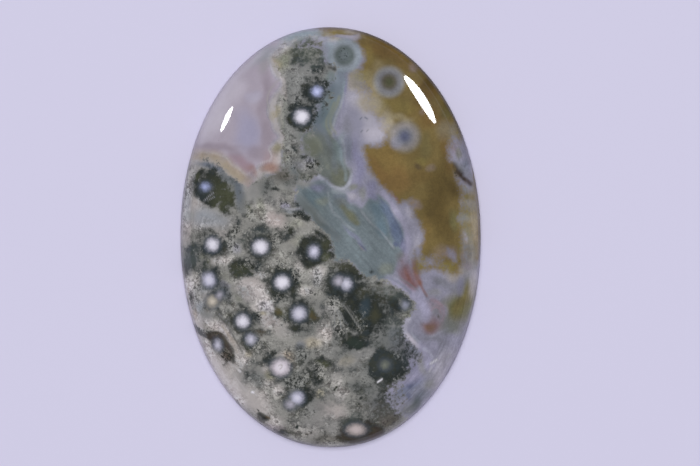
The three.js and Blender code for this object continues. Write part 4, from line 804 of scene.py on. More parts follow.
# Fine lines in the clear stone: hue, points along the line, half its width and strength.
CLEAR_STREAKS = [
    ("biscuit", [(-12.4, 6.9), (-10.8, 6.75), (-9.6, 6.65), (-8.9, 6.3), (-8.4, 5.8), (-7.8, 5.35),
        (-7.1, 4.75)], 0.55, 0.85),
    ("straw", [(-10.6, 6.75), (-9.6, 6.5), (-8.9, 6.05), (-8.2, 5.4), (-7.4, 4.8)], 0.3, 0.3),
    ("chalk", [(-11.6, 7.1), (-10.4, 7.1), (-9.4, 6.95), (-8.6, 6.6), (-8.2, 6.05), (-7.6, 5.7),
        (-7.0, 5.15)], 0.1, 0.2),
    ("chalk", [(-4.1, 13.3), (-3.8, 12.9), (-3.65, 12.4), (-3.8, 11.9)], 0.1, 0.6),
    ("chalk", [(-5.15, 7.3), (-4.9, 6.8), (-5.1, 6.4), (-5.8, 6.15), (-6.4, 5.7),
        (-6.85, 5.2)], 0.08, 0.35),
    ("frost", [(-1.3, 16.6), (-0.5, 16.35), (0.3, 16.3)], 0.3, 0.55),
    ("brick", [(6.0, -1.8), (6.15, -2.8), (6.4, -3.5), (6.8, -4.1)], 0.48, 0.75),
    ("rust", [(6.0, -2.0), (6.2, -2.7), (6.6, -3.5)], 0.16, 0.5),
    ("brick", [(6.45, -2.5), (6.75, -3.2), (7.05, -4.0)], 0.3, 0.45),
    ("rust", [(7.0, -2.0), (7.15, -3.0), (7.45, -3.8)], 0.26, 0.85),
    ("rust", [(7.45, -3.7), (7.7, -4.3), (8.05, -4.9)], 0.12, 0.8),
    ("slate", [(7.9, -4.7), (8.1, -5.1), (8.6, -5.6)], 0.08, 0.5),
    ("lavender", [(4.9, -3.5), (6.2, -4.3), (7.3, -5.1), (8.0, -6.0), (7.9, -6.8)], 0.38, 0.7),
    ("pewter", [(5.7, -3.3), (6.6, -3.9), (7.3, -4.4)], 0.08, 0.6),
    ("slate", [(4.3, -3.3), (5.2, -3.5), (6.0, -4.0), (6.7, -4.6)], 0.12, 0.5),
    ("bark", [(10.2, 5.9), (10.45, 5.5), (10.8, 5.25), (11.1, 4.85), (11.4, 4.75),
        (11.75, 4.4)], 0.11, 0.8),
    ("pewter", [(10.5, 6.1), (11.0, 5.7), (11.6, 5.1)], 0.32, 0.6),
    ("smoke", [(10.2, 6.0), (10.7, 5.6)], 0.3, 0.6),
    ("bark", [(10.2, 5.95), (10.5, 5.55), (10.85, 5.2)], 0.3, 0.9),
    ("bark", [(11.2, 4.85), (11.45, 4.65), (11.7, 4.45)], 0.22, 0.9),
    ("mist", [(0.95, 8.3), (1.15, 7.4), (1.2, 6.6), (1.35, 6.0), (1.68, 5.6), (1.75, 5.1),
        (1.55, 4.4)], 0.13, 0.5),
    ("frost", [(1.6, 4.6), (1.3, 4.2), (0.9, 4.05), (0.2, 4.25), (-0.4, 4.7), (-1.0, 5.15)], 0.15, 0.65),
    ("mist", [(0.3, 3.95), (0.9, 3.75), (1.5, 3.95)], 0.2, 0.5),
    ("mist", [(1.15, 12.0), (0.95, 11.1), (0.5, 10.1), (0.25, 9.3)], 0.10, 0.7),
    ("sage", [(0.75, 11.7), (0.55, 11.0), (0.25, 10.4), (0.0, 9.8), (0.1, 9.2), (0.45, 8.7)], 0.14, 0.6),
    ("sage", [(0.35, 11.2), (0.0, 10.4), (-0.3, 9.8), (-0.25, 9.1), (0.1, 8.6)], 0.12, 0.6),
    ("sage", [(-1.7, 8.5), (-1.0, 8.0), (-0.6, 7.0), (-0.2, 5.8)], 0.2, 0.4),
    ("slate", [(-0.9, 9.2), (-0.4, 8.6), (0.0, 7.6), (0.3, 6.4), (0.5, 5.4)], 0.22, 0.4),
    ("aqua", [(0.9, 7.4), (0.95, 6.4), (1.25, 5.6), (1.3, 4.8)], 0.14, 0.5),
    ("slate", [(0.3, 8.7), (0.6, 8.1), (1.05, 7.5), (1.15, 6.7)], 0.1, 0.5),
    ("mist", [(-0.2, 3.8), (-0.05, 2.9), (0.2, 2.2), (0.7, 1.7), (1.3, 1.05), (2.0, 0.6)], 0.1, 0.5),
    ("mist", [(2.6, 2.2), (3.3, 1.3), (4.2, 0.5), (5.0, -0.5), (5.3, -0.9)], 0.09, 0.6),
    ("ink_blue", [(4.2, 3.1), (4.8, 2.5), (5.3, 1.6), (5.8, 0.6), (6.0, -0.2), (5.8, -0.8)], 0.1, 0.55),
    ("lavender", [(4.4, 3.7), (5.2, 2.7), (5.9, 1.5), (6.4, 0.3), (6.5, -0.8), (6.2, -1.8)], 0.22, 0.6),
    ("ink_blue", [(2.35, -0.45), (2.7, -0.8), (3.0, -1.1)], 0.08, 0.7),
    ("milk", [(6.5, 2.3), (6.95, 1.2), (7.25, 0.2), (7.2, -0.8), (6.8, -1.6)], 0.3, 0.6),
    ("opal", [(6.5, -6.9), (6.2, -7.5), (6.3, -8.0), (6.75, -8.5), (7.3, -9.1)], 0.22, 0.9),
    ("frost", [(6.6, -6.8), (6.25, -7.3), (6.25, -7.9)], 0.2, 0.8),
    ("frost", [(7.0, -7.2), (6.75, -7.7), (6.9, -8.2), (7.4, -8.7)], 0.1, 0.6),
    ("lavender", [(7.5, -9.1), (7.9, -9.5), (8.2, -10.0), (8.3, -10.8)], 0.4, 0.7),
    ("frost", [(7.8, -9.3), (8.3, -9.6), (8.5, -10.0)], 0.14, 0.5),
    ("rose", [(8.4, -5.2), (8.9, -5.35), (9.35, -5.8), (9.5, -6.4), (9.35, -6.9)], 0.13, 0.55),
    ("rose", [(8.4, -6.1), (8.7, -5.85), (9.1, -5.95), (9.2, -6.35)], 0.07, 0.6),
    ("lavender", [(5.2, -12.6), (6.2, -12.0), (7.3, -11.6)], 0.4, 0.7),
    ("frost", [(7.0, -13.0), (7.5, -12.5)], 0.07, 0.5),
    ("frost", [(6.3, -11.9), (6.9, -11.3)], 0.06, 0.35),
    ("frost", [(7.0, -12.7), (7.5, -12.2)], 0.07, 0.5),
    ("frost", [(8.3, -8.3), (9.0, -8.0), (9.8, -7.6)], 0.08, 0.3),
    ("frost", [(9.2, -9.9), (9.7, -9.2)], 0.07, 0.5),
    ("frost", [(9.6, -10.3), (10.1, -9.5)], 0.06, 0.4),
]

# Fine marks over everything, given in the same way: cracks, specks, and painted glints, which are white
# marks that stand for light sparkling off quartz.
FINE_MARKS = [
    ("fog", [(1.15, -5.7), (1.75, -6.5), (2.2, -7.2), (2.55, -7.65)], 0.05, 0.8),
    ("fog", [(1.35, -5.7), (1.95, -6.4), (2.4, -7.1)], 0.04, 0.5),
    ("mist", [(0.5, -6.0), (0.8, -6.8), (0.9, -7.6)], 0.05, 0.6),
    ("mist", [(0.7, -6.0), (1.1, -6.8), (1.5, -7.3)], 0.04, 0.6),
    ("mist", [(0.3, -6.2), (0.4, -7.0), (0.3, -7.8)], 0.04, 0.5),
    ("fog", [(1.2, -8.3), (1.8, -8.1), (2.6, -7.9)], 0.05, 0.6),
    ("coal", [(0.95, -7.2), (1.3, -7.9), (1.4, -8.5)], 0.06, 0.6),
    ("tan", [(-9.0, -7.4), (-8.5, -8.1), (-8.15, -8.8), (-7.75, -9.6)], 0.13, 0.6),
    ("cream", [(-8.7, -8.1), (-8.1, -8.9), (-7.7, -9.6), (-7.5, -10.3)], 0.3, 0.3),
    ("moss_olive", [(-9.4, -6.2), (-8.7, -7.0), (-8.2, -7.8), (-7.9, -8.4), (-7.5, -9.1),
        (-7.1, -9.8)], 0.22, 0.3),
    ("coal", [(-9.5, -6.4), (-8.8, -7.1), (-8.3, -7.8), (-8.0, -8.4), (-7.6, -9.1),
        (-7.3, -9.7)], 0.1, 0.7),
    ("frost", [(-9.3, -6.35), (-8.8, -6.8), (-8.4, -7.2)], 0.04, 0.5),
    ("deep_teal", [(-2.6, 3.3), (-1.9, 2.6), (-1.3, 1.95), (-0.8, 1.3), (-0.4, 0.9)], 0.34, 0.42),
    ("deep_teal", [(-0.5, 0.95), (0.0, 0.5), (0.6, 0.0)], 0.3, 0.4),
    ("coal", [(-0.1, 14.15), (0.15, 14.1), (0.4, 13.95)], 0.17, 0.85),
    ("coal", [(-5.9, -14.75), (-5.5, -15.05)], 0.17, 0.85),
    ("coal", [(-5.65, -15.15), (-5.15, -15.05)], 0.18, 0.9),
    ("toffee", [(-5.3, -14.95), (-4.95, -15.1)], 0.1, 0.6),
    # This chalk line is partly the stone's own pale vein and partly painted glints along it.
    ("chalk", [(-8.3, -10.9), (-7.9, -11.6), (-7.4, -12.3), (-6.9, -12.8)], 0.06, 0.55),
    ("coal", [(0.35, 14.2), (0.5, 14.0)], 0.09, 0.7),
    ("coal", [(-11.5, -7.2), (-10.9, -7.8), (-10.4, -8.3)], 0.12, 0.7),
    ("frost", [(-10.5, 3.0), (-10.1, 3.4), (-9.7, 3.7)], 0.05, 0.7),
    ("frost", [(-10.2, 3.0), (-9.8, 3.3), (-9.6, 3.35)], 0.04, 0.6),
    # Painted glints: these white marks stand for light sparkling off quartz crystals.
    ("white", [(3.95, -12.05), (4.3, -11.8)], 0.09, 1.0),
    ("white", [(8.35, -10.55), (8.87, -10.2)], 0.11, 0.75),
    ("white", [(8.25, -11.2), (8.45, -10.85)], 0.12, 0.45),
    ("white", [(9.8, -10.0), (10.0, -9.7)], 0.1, 0.3),
    ("white", [(-6.52, -12.9), (-6.42, -12.93)], 0.14, 1.0),
    ("white", [(-7.65, -11.05), (-7.5, -11.2)], 0.11, 0.8),
    # Painted glints: the next two chalk lines follow the stone's own pale vein and are partly painted glints
    # on it. The third chalk mark is a painted glint.
    ("chalk", [(-8.5, -10.4), (-8.0, -10.8), (-7.6, -11.1)], 0.09, 0.7),
    ("chalk", [(-8.0, -11.4), (-7.6, -12.1), (-7.1, -12.8)], 0.09, 0.7),
    ("chalk", [(-6.25, -13.05), (-6.1, -13.2)], 0.1, 0.9),
    ("peat", [(0.0, -10.9), (0.02, -12.0)], 0.05, 0.6),
    ("chalk", [(-3.95, 13.4), (-3.82, 12.9), (-3.78, 12.4), (-3.9, 11.8)], 0.14, 0.5),
    ("cream", [(-4.95, 15.0), (-4.85, 14.5), (-4.55, 13.9), (-4.3, 13.4)], 0.1, 0.55),
    ("cream", [(-4.2, 13.1), (-4.7, 12.7), (-5.05, 12.2), (-5.25, 11.5), (-5.1, 10.7),
        (-4.85, 9.9)], 0.08, 0.5),
    ("smoke", [(-3.35, 13.6), (-3.25, 12.8), (-3.35, 12.0), (-3.5, 11.4)], 0.3, 0.45),
    ("smoke", [(-4.2, 12.0), (-4.35, 11.2), (-4.35, 10.2), (-4.2, 9.3)], 0.16, 0.4),
    ("smoke", [(-3.75, 11.2), (-3.85, 10.2), (-3.75, 9.3), (-3.6, 8.5)], 0.14, 0.35),
    ("bone", [(-4.05, 11.4), (-4.1, 10.4), (-4.0, 9.4)], 0.1, 0.4),
    ("frost", [(-3.7, 2.4), (-3.1, 2.35), (-2.5, 2.4)], 0.12, 0.6),
    ("coal", [(-3.4, 7.45), (-3.1, 7.2), (-2.8, 7.0)], 0.05, 0.5),
    ("clay", [(-4.3, -10.7), (-4.15, -10.62), (-4.0, -10.75), (-4.1, -10.95), (-4.3, -10.95)], 0.04, 0.5),
    ("ink_blue", [(2.5, 9.85), (2.6, 9.95)], 0.07, 0.8),
    ("ink_blue", [(2.9, 10.05), (3.1, 9.8)], 0.08, 0.8),
    ("ink_blue", [(2.55, 8.75), (2.7, 8.95)], 0.07, 0.7),
    ("ink_blue", [(3.0, 8.8), (3.15, 8.95)], 0.06, 0.6),
]


def linear(colour):
    """An sRGB hex colour, as read off a screen, as the linear colour that a shader takes."""
    parts = [int(colour[i : i + 2], 16) / 255 for i in (1, 3, 5)]
    bent = [p / 12.92 if p <= 0.04045 else ((p + 0.055) / 1.055) ** 2.4 for p in parts]
    return (*bent, 1.0)


def smooth_outline(points, closed=True):
    """A smooth curve through the points (Catmull-Rom), so that an outline needs few of them."""
    p = np.array(points, float)
    if closed:
        before, after, beyond = np.roll(p, 1, 0), np.roll(p, -1, 0), np.roll(p, -2, 0)
    else:
        before = np.vstack([p[:1], p[:-2]])
        after = p[1:]
        beyond = np.vstack([p[2:], p[-1:]])
        p = p[:-1]
    curve = []
    for t in np.arange(OUTLINE_STEPS) / OUTLINE_STEPS:
        bend = (2 * before - 5 * p + 4 * after - beyond) * t**2
        twist = (3 * p - before - 3 * after + beyond) * t**3
        curve.append(0.5 * (2 * p + (after - before) * t + bend + twist))
    curve = np.stack(curve, 1).reshape(-1, 2)
    return curve if closed else np.vstack([curve, after[-1:]])


def distance_to(curve, places, closed):
    """Distance in mm from each place to the curve, and whether the place is inside it."""
    starts = curve if closed else curve[:-1]
    ends = np.roll(curve, -1, 0) if closed else curve[1:]
    nearest = np.full(len(places), np.inf)
    inside = np.zeros(len(places), bool)
    x, y = places.T
    for (ax, ay), (bx, by) in zip(starts, ends):
        dx, dy = bx - ax, by - ay
        along = np.clip(((x - ax) * dx + (y - ay) * dy) / (dx * dx + dy * dy), 0, 1)
        nearest = np.minimum(nearest, np.hypot(x - ax - along * dx, y - ay - along * dy))
        if ay != by:
            crosses = (ay > y) != (by > y)
            inside ^= crosses & (x < ax + (y - ay) * dx / dy)
    return nearest, inside


def depth_inside(outline, places):
    """How far inside the outline each place is, in mm, and less than nothing outside it."""
    nearest, inside = distance_to(smooth_outline(outline), places, closed=True)
    return np.where(inside, nearest, -nearest)


def fade(value, start, end):
    """0 before start, 1 after end and a smooth turn between."""
    t = np.clip((value - start) / (end - start), 0, 1)
    return t * t * (3 - 2 * t)


def oval_distance(places, x, y, half_length, half_width, turn):
    """How many of its own radii each place lies from the middle of a turned oval."""
    cosine, sine = math.cos(math.radians(turn)), math.sin(math.radians(turn))
    dx, dy = places[:, 0] - x, places[:, 1] - y
    return np.hypot((dx * cosine + dy * sine) / half_length, (dy * cosine - dx * sine) / half_width)


def oval_depth(places, x, y, half_length, half_width, turn):
    """How far inside a turned oval each place is, in mm, and less than nothing outside it."""
    radius = (half_length + half_width) / 2
    return radius * (1 - oval_distance(places, x, y, half_length, half_width, turn))


def oval_cover(places, *oval):
    """1 in a turned oval's middle and 0 beyond it, with a soft edge."""
    return 1 - fade(oval_distance(places, *oval), *OVAL_EDGE)


def streak_cover(places, points, half_width):
    """1 on a fine line through the points and 0 beside it."""
    away, _ = distance_to(smooth_outline(points, closed=False), places, closed=False)
    return 1 - fade(away / half_width, *STREAK_EDGE)


def wandered(places):
    """The places moved about by a smooth random field, so that ovals and outlines come out as grown ones."""
    draw = np.random.default_rng(WANDER_SEED)
    moved = places.copy()
    for _ in range(WANDER_WAVES):
        length = draw.uniform(*WANDER_LENGTHS)
        heading, push, phase = draw.uniform(0, 2 * math.pi, 3)
        run = places[:, 0] * math.cos(heading) + places[:, 1] * math.sin(heading)
        wave = WANDER_STEEPNESS * length * np.sin(run * 2 * math.pi / length + phase)
        moved[:, 0] += wave * math.cos(push)
        moved[:, 1] += wave * math.sin(push)
    return moved


def plain(hue, places):
    """The hue, once for each place."""
    return np.tile(np.array(linear(HUES[hue])[:3]), (len(places), 1))


def laid_over(colour, hue, cover):
    """The colours with a hue laid over them as thickly as cover says."""
    cover = cover[:, None]
    return colour * (1 - cover) + np.array(linear(HUES[hue])[:3]) * cover


def painted(colour, places, stains):
    """The colours once the soft oval stains are laid over them, one after the other."""
    for hue, *oval, strength in stains:
        colour = laid_over(colour, hue, strength * oval_cover(places, *oval))
    return colour


def ringed(colour, places):
    """The colours with the clear ring orbs laid over them."""
    for x, y, rings in RING_ORBS:
        away = np.hypot(places[:, 0] - x, places[:, 1] - y)
        for hue, radius, strength in rings:
            cover = strength * (1 - fade(away, radius - RING_SOFTNESS, radius + RING_SOFTNESS))
            colour = laid_over(colour, hue, cover)
    return colour


def agate_pocket(colour, places):
    """The colours with the agate pocket and its pale rim laid over them."""
    depth = depth_inside(AGATE_POCKET, places)
    for hue, start, end, strength in POCKET_RIM:
        begun = fade(depth, start - RIM_SOFTNESS, start + RIM_SOFTNESS)
        over = fade(depth, end - RIM_SOFTNESS, end + RIM_SOFTNESS)
        colour = laid_over(colour, hue, strength * begun * (1 - over))
    return laid_over(colour, "mauve", fade(depth, *AGATE_EDGE))


def clear_stone(places, bent_places):
    """The chalcedony, glass and agate that neither moss nor ochre grows in."""
    colour = plain("lilac", places)
    for outline, hue in GLASS_BODIES:
        depth = depth_inside(outline, bent_places)
        colour = laid_over(colour, hue, fade(depth, -BODY_SOFTNESS, BODY_SOFTNESS))
    colour = agate_pocket(colour, places)
    colour = ringed(painted(colour, bent_places, CLEAR_STAINS), places)
    push = (bent_places - places).sum(axis=1)
    presence = np.clip(STREAK_PRESENCE + STREAK_PATCHINESS * push, LEAST_PRESENCE, 1)
    for hue, points, half_width, strength in CLEAR_STREAKS:
        colour = laid_over(colour, hue, strength * presence * streak_cover(places, points, half_width))
    return colour


def ochre_depth(places):
    """How far inside the ochre each place is, with its islands and holes."""
    depth = depth_inside(OCHRE_BODY, places)
    for oval in OCHRE_ISLANDS:
        depth = np.maximum(depth, oval_depth(places, *oval))
    for oval in OCHRE_HOLES:
        depth = np.minimum(depth, -oval_depth(places, *oval))
    return depth


def cleared(places):
    """The ground of the moss: grey, and cream where moss leaves it clear."""
    colour = plain("ground_grey", places)
    for *oval, clear in CLEARINGS:
        colour = laid_over(colour, "cream", min(1.0, PALING * clear) * oval_cover(places, *oval))
    return colour


def fine_marks(places):
    """Colour and cover of the cracks, the specks and the painted glints that lie over everything else."""
    colour = plain("fog", places)
    cover = np.zeros(len(places))
    for hue, points, half_width, strength in FINE_MARKS:
        mark = strength * streak_cover(places, points, half_width)
        colour = laid_over(colour, hue, mark)
        cover = np.maximum(cover, mark)
    return np.column_stack([colour, cover])


def thickest(places, ovals):
    """The strength of the strongest of the soft ovals at each place."""
    strongest = np.zeros(len(places))
    for *oval, strength in ovals:
        strongest = np.maximum(strongest, strength * oval_cover(places, *oval))
    return strongest


def moss_growth(places):
    """How thickly moss grows: rings round the eyes, clots, and clearings between them."""
    growth = np.full(len(places), OPEN_GROWTH)
    for *oval, clear in CLEARINGS:
        growth -= clear * oval_cover(places, *oval)
    dark = thickest(places, MOSS_CLOTS)
    for _, x, y, _, _, _, ring, weight in ORBS:
        away = np.hypot(places[:, 0] - x, places[:, 1] - y)
        dark = np.maximum(dark, weight * (1 - fade(away / ring, *MOSS_RING_EDGE)))
    return growth + dark


def eyes(places):
    """For each place, its depth inside the nearest eye in mm, and that eye's colour."""
    depth = np.full(len(places), FAR_FROM_EYES)
    colour = plain("white", places)
    for hue, *oval, _, _ in ORBS:
        inside = oval_depth(places, *oval)
        nearer = inside > depth
        depth[nearer] = inside[nearer]
        colour[nearer] = linear(HUES[hue])[:3]
    return depth, colour


def places_by_rim(points):
    """Each point's place counted inwards from the edge and along it, drawn out along it to make streaks."""
    x, y, z = points.T
    across, along = x / (WIDTH / 2), y / (LENGTH / 2)
    radius = (WIDTH + LENGTH) / 4
    inwards = radius * (1 - np.hypot(across, along))
    around = radius * np.arctan2(along, across) / RIM_FIBRE_STRETCH
    return np.column_stack([inwards, around, z / RIM_FIBRE_STRETCH])


def outline_point(angle):
    """The oval's edge in the direction of each angle."""
    across = np.abs(np.cos(angle)) ** OVAL_FULLNESS
    along = np.abs(np.sin(angle)) ** OVAL_FULLNESS
    reach = (across + along) ** (-1 / OVAL_FULLNESS)
    return np.column_stack([WIDTH / 2 * reach * np.cos(angle), LENGTH / 2 * reach * np.sin(angle)])


def outline_normal(point):
    """The direction square to the oval's edge at each point, outwards."""
    half = np.array([WIDTH / 2, LENGTH / 2])
    square = np.sign(point) * np.abs(point / half) ** (OVAL_FULLNESS - 1) / half
    return square / np.linalg.norm(square, axis=1, keepdims=True)


def dome_height(share):
    """Height of the dome above the girdle line, at a share of the way from the middle to that line."""

    def section(t):
        return (1 - (DOME_REACH * t) ** CROWN_FLATNESS) ** (1 / SHOULDER_FULLNESS)

    return DOME_HEIGHT * (section(share) - section(1)) / (1 - section(1))


def turned_edge(before, corner, after):
    """A short curve that turns the corner, starting and ending at the edge rounding from it."""
    before, corner, after = (np.array(p, float) for p in (before, corner, after))
    start = corner + (before - corner) * EDGE_ROUNDING / np.linalg.norm(before - corner)
    end = corner + (after - corner) * EDGE_ROUNDING / np.linalg.norm(after - corner)
    t = np.linspace(0, 1, STEPS_PER_EDGE + 1)[:, None]
    return list((1 - t) ** 2 * start + 2 * t * (1 - t) * corner + t**2 * end)


def columns_for(share, at_rim):
    """Half as many columns each time the ring is half as long, down to an odd count."""
    columns = at_rim
    while share <= 0.5 and columns % 2 == 0:
        columns //= 2
        share *= 2
    return columns


def half_section():
    """Rings from the back's middle round the side and up to the crown: inset, height, share and columns."""
    far_inside, back_edge, bevel_top = (WIDTH, 0.0), (BACK_BEVEL, 0.0), (0.0, BACK_BEVEL)
    girdle_line = np.array((GIRDLE_LEAN, GIRDLE_TOP))
    side = turned_edge(far_inside, back_edge, bevel_top)
    side += turned_edge(back_edge, bevel_top, girdle_line)
    rise = girdle_line - side[-1]
    side += [girdle_line - rise * (1 - k / STEPS_UP_GIRDLE) for k in range(1, STEPS_UP_GIRDLE + 1)]
    ground_away = min(inset for inset, _ in side)
    side = [(inset - ground_away, height, 1.0) for inset, height in side]
    back_inset, girdle_inset = side[0][0], side[-1][0]
    rings = []
    for k in range(1, RINGS_ON_BACK):
        share = k / RINGS_ON_BACK
        rings.append((back_inset, 0.0, share, columns_for(share, COLUMNS_ON_BACK)))
    rings.append((*side[0], COLUMNS_AT_RIM // 2))
    rings += [(*ring, COLUMNS_AT_RIM) for ring in side[1:]]
    for k in range(1, RINGS_UP_DOME):
        share = 1 - k / RINGS_UP_DOME
        height = GIRDLE_TOP + dome_height(share)
        rings.append((girdle_inset, height, share, columns_for(share, COLUMNS_AT_RIM)))
    return rings


def bridge(outer, inner):
    """Faces between two rings, of which one may have twice the columns of the other."""
    if len(outer) < len(inner):
        return [tuple(reversed(face)) for face in bridge(inner, outer)]
    if len(outer) == len(inner):
        return list(zip(outer, np.roll(outer, -1).tolist(), np.roll(inner, -1).tolist(), inner))
    faces = []
    for k, near in enumerate(inner):
        first, second, third = outer[2 * k], outer[2 * k + 1], outer[(2 * k + 2) % len(outer)]
        far = inner[(k + 1) % len(inner)]
        faces += [(first, second, near), (second, far, near), (second, third, far)]
    return faces


def stone_mesh():
    """The smooth stone in mm: rings laid on the oval and bridged, closed by a point at each middle."""
    points = [np.array([[0.0, 0.0, 0.0]])]
    faces = []
    previous = None
    count = 1
    for inset, height, share, columns in half_section():
        edge = outline_point(np.arange(columns) / columns * 2 * math.pi)
        flat = share * (edge - inset * outline_normal(edge))
        points.append(np.column_stack([flat, np.full(columns, height)]))
        ring = list(range(count, count + columns))
        count += columns
        if previous is None:
            faces += [(0, b, a) for a, b in zip(ring, ring[1:] + ring[:1])]
        else:
            faces += bridge(previous, ring)
        previous = ring
    points.append(np.array([[0.0, 0.0, THICKNESS]]))
    faces += [(a, b, count) for a, b in zip(previous, previous[1:] + previous[:1])]
    return np.vstack(points), faces


def seen_places(points):
    """Where the picture shows each point, in its millimetres: turned with the stone and spread by the lens.

    The markings run on below the face on a slant, as they do through a natural stone.
    """
    cosine, sine = math.cos(STONE_TURN), math.sin(STONE_TURN)
    x, y, z = points.T
    share = np.hypot(x / (WIDTH / 2), y / (LENGTH / 2))
    below = np.maximum(GIRDLE_TOP + dome_height(np.minimum(share, 1.0)) - z, 0)
    x = x + MARKING_SLANT[0] * below
    y = y + MARKING_SLANT[1] * below
    spread = SIGHT / (SIGHT - (z - WIDEST_HEIGHT))
    return np.column_stack([(x * cosine - y * sine) * spread, (x * sine + y * cosine) * spread])


def add_node(tree, kind, inputs=None, **settings):
    """Adds a node, sets it up and links or sets its inputs."""
    node = tree.nodes.new(kind)
    for name, value in settings.items():
        setattr(node, name, value)
    for socket, value in (inputs or {}).items():
        if isinstance(value, bpy.types.NodeSocket):
            tree.links.new(value, node.inputs[socket])
        else:
            node.inputs[socket].default_value = value
    return node


def stone_textures(tree):
    """Each texture of the stone as a number, which is nothing on average."""
    place = add_node(tree, "ShaderNodeTexCoord").outputs["Object"]
    along_glass = add_node(tree, "ShaderNodeMapping", {
        "Vector": place,
        "Rotation": (0, 0, math.radians(FIBRE_TURN)),
        "Scale": (FIBRE_STRETCH, 1, FIBRE_STRETCH),
    }, vector_type="TEXTURE").outputs[0]
    along_rim = add_node(tree, "ShaderNodeAttribute", attribute_name="rim_place").outputs["Vector"]
    grown_on = {"stone": place, "along_glass": along_glass, "along_rim": along_rim}
    flakes = add_node(tree, "ShaderNodeTexVoronoi", {"Vector": place, "Scale": 1 / (FLAKE_SIZE * MM)})
    raw = {"flakes": flakes.outputs["Color"]}
    for name, size, detail, roughness, where in TEXTURES:
        inputs = {"Vector": grown_on[where], "Scale": 1 / (size * MM)}
        inputs |= {"Detail": detail, "Roughness": roughness}
        raw[name] = add_node(tree, "ShaderNodeTexNoise", inputs).outputs["Fac"]
    texture = {}
    for name, value in raw.items():
        inputs = {0: value, 1: TEXTURE_MEAN}
        texture[name] = add_node(tree, "ShaderNodeMath", inputs, operation="SUBTRACT").outputs[0]
    veins = add_node(tree, "ShaderNodeMath", {0: texture["fronds"]}, operation="ABSOLUTE")
    return texture | {"veins": veins.outputs[0]}


def torn_covers(tree, carried, texture):
    """Where each thing shows, from 0 to 1: as the mesh carries it, or with its edge torn by the textures."""
    cover = {name: carried[name]["Fac"] for name in ("fibrous", "rough", "rim_streaked", "sanded")}
    cover["fine_marks"] = carried["fine_marks"]["Alpha"]
    for name, (base, tearing, start, full) in COVERS.items():
        value = carried[base]["Fac"] if base else 0.0
        for layer, strength in tearing.items():
            inputs = {0: texture[layer], 1: strength, 2: value}
            value = add_node(tree, "ShaderNodeMath", inputs, operation="MULTIPLY_ADD").outputs[0]
        inputs = {"Value": value, "From Min": start, "From Max": full}
        turned = add_node(tree, "ShaderNodeMapRange", inputs, interpolation_type="SMOOTHSTEP")
        cover[name] = turned.outputs[0]
    return cover


def ocean_jasper(values, colours):
    """Ocean jasper: orbicular chalcedony, sawn, domed and polished with tin oxide.

    The polish gives a glassy gloss. Below it the body is cloudy, and moss-like chlorite grows in it.
    """
    material = bpy.data.materials.new("polished_ocean_jasper")
    material.use_nodes = True
    tree = material.node_tree
    tree.nodes.clear()
    carried = {}
    for name in (*values, *colours):
        carried[name] = add_node(tree, "ShaderNodeAttribute", attribute_name=name).outputs
    cover = torn_covers(tree, carried, stone_textures(tree))

    laid = {name: linear(hue) for name, hue in HUES.items()}
    laid |= cover | {name: carried[name]["Color"] for name in colours}
    colour = laid["clear_stone"]
    for above, places, strength, blend in LAYERS:
        factor = strength
        for name in places:
            inputs = {0: cover[name], 1: factor}
            factor = add_node(tree, "ShaderNodeMath", inputs, operation="MULTIPLY").outputs[0]
        inputs = {0: factor, 6: colour, 7: laid[above]}
        colour = add_node(tree, "ShaderNodeMix", inputs, data_type="RGBA", blend_type=blend).outputs[2]

    # The dome is polished. The girdle and the back are only sanded.
    finish = {}
    for socket, (polished, sanded) in FINISHES.items():
        inputs = {"Value": cover["sanded"], "To Min": polished, "To Max": sanded}
        finish[socket] = add_node(tree, "ShaderNodeMapRange", inputs).outputs[0]
    inputs = {"Base Color": colour, "IOR": CHALCEDONY_IOR, **finish}
    shader = add_node(tree, "ShaderNodeBsdfPrincipled", inputs)
    add_node(tree, "ShaderNodeOutputMaterial", {"Surface": shader.outputs[0]})
    return material


def carried_depths(points, places, bent_places, eye_depth):
    """The numbers that the stone's vertices carry: depths in mm, and how much of something there is."""
    sharpness = 1 - thickest(places, SOFT_EDGES)
    agate_calm = AGATE_CALM * fade(depth_inside(AGATE_POCKET, places), *AGATE_CALM_EDGE)
    return {
        "moss": sharpness * depth_inside(MOSS_FIELD, places),
        "moss_growth": moss_growth(bent_places),
        "busy": thickest(bent_places, BUSY),
        "ochre": sharpness * ochre_depth(places),
        "rough": 1 - np.maximum(thickest(places, CALM), agate_calm),
        "rim_streaked": thickest(places, RIM_STREAKED),
        "sanded": 1 - fade(points[:, 2] - GIRDLE_TOP, *POLISH_EDGE),
        "fibrous": fade(depth_inside(BLUE_GLASS, places), *FIBROUS_EDGE),
        "eye_depth": eye_depth,
    }


def carried_colours(places, bent_places, eye_colour):
    """The colours that the stone's vertices carry, one set for each kind of stone in it."""
    ground = painted(cleared(bent_places), bent_places, GROUND_STAINS)
    return {
        "clear_stone": clear_stone(places, bent_places),
        "ochre_body": ringed(painted(plain("ochre", places), bent_places, OCHRE_STAINS), places),
        "ground": ground,
        "fleck_tint": np.minimum(ground * FLECK_GAIN, LIGHTEST_FLECK),
        "moss_tint": painted(plain("bottle", places), bent_places, MOSS_STAINS),
        "eye_colour": eye_colour,
        "fine_marks": fine_marks(places),
    }


def carry(mesh, name, kind, field, values):
    """Gives each vertex of the mesh its value of a named attribute."""
    layer = mesh.attributes.new(name, kind, "POINT")
    layer.data.foreach_set(field, values.astype(np.float32).ravel())


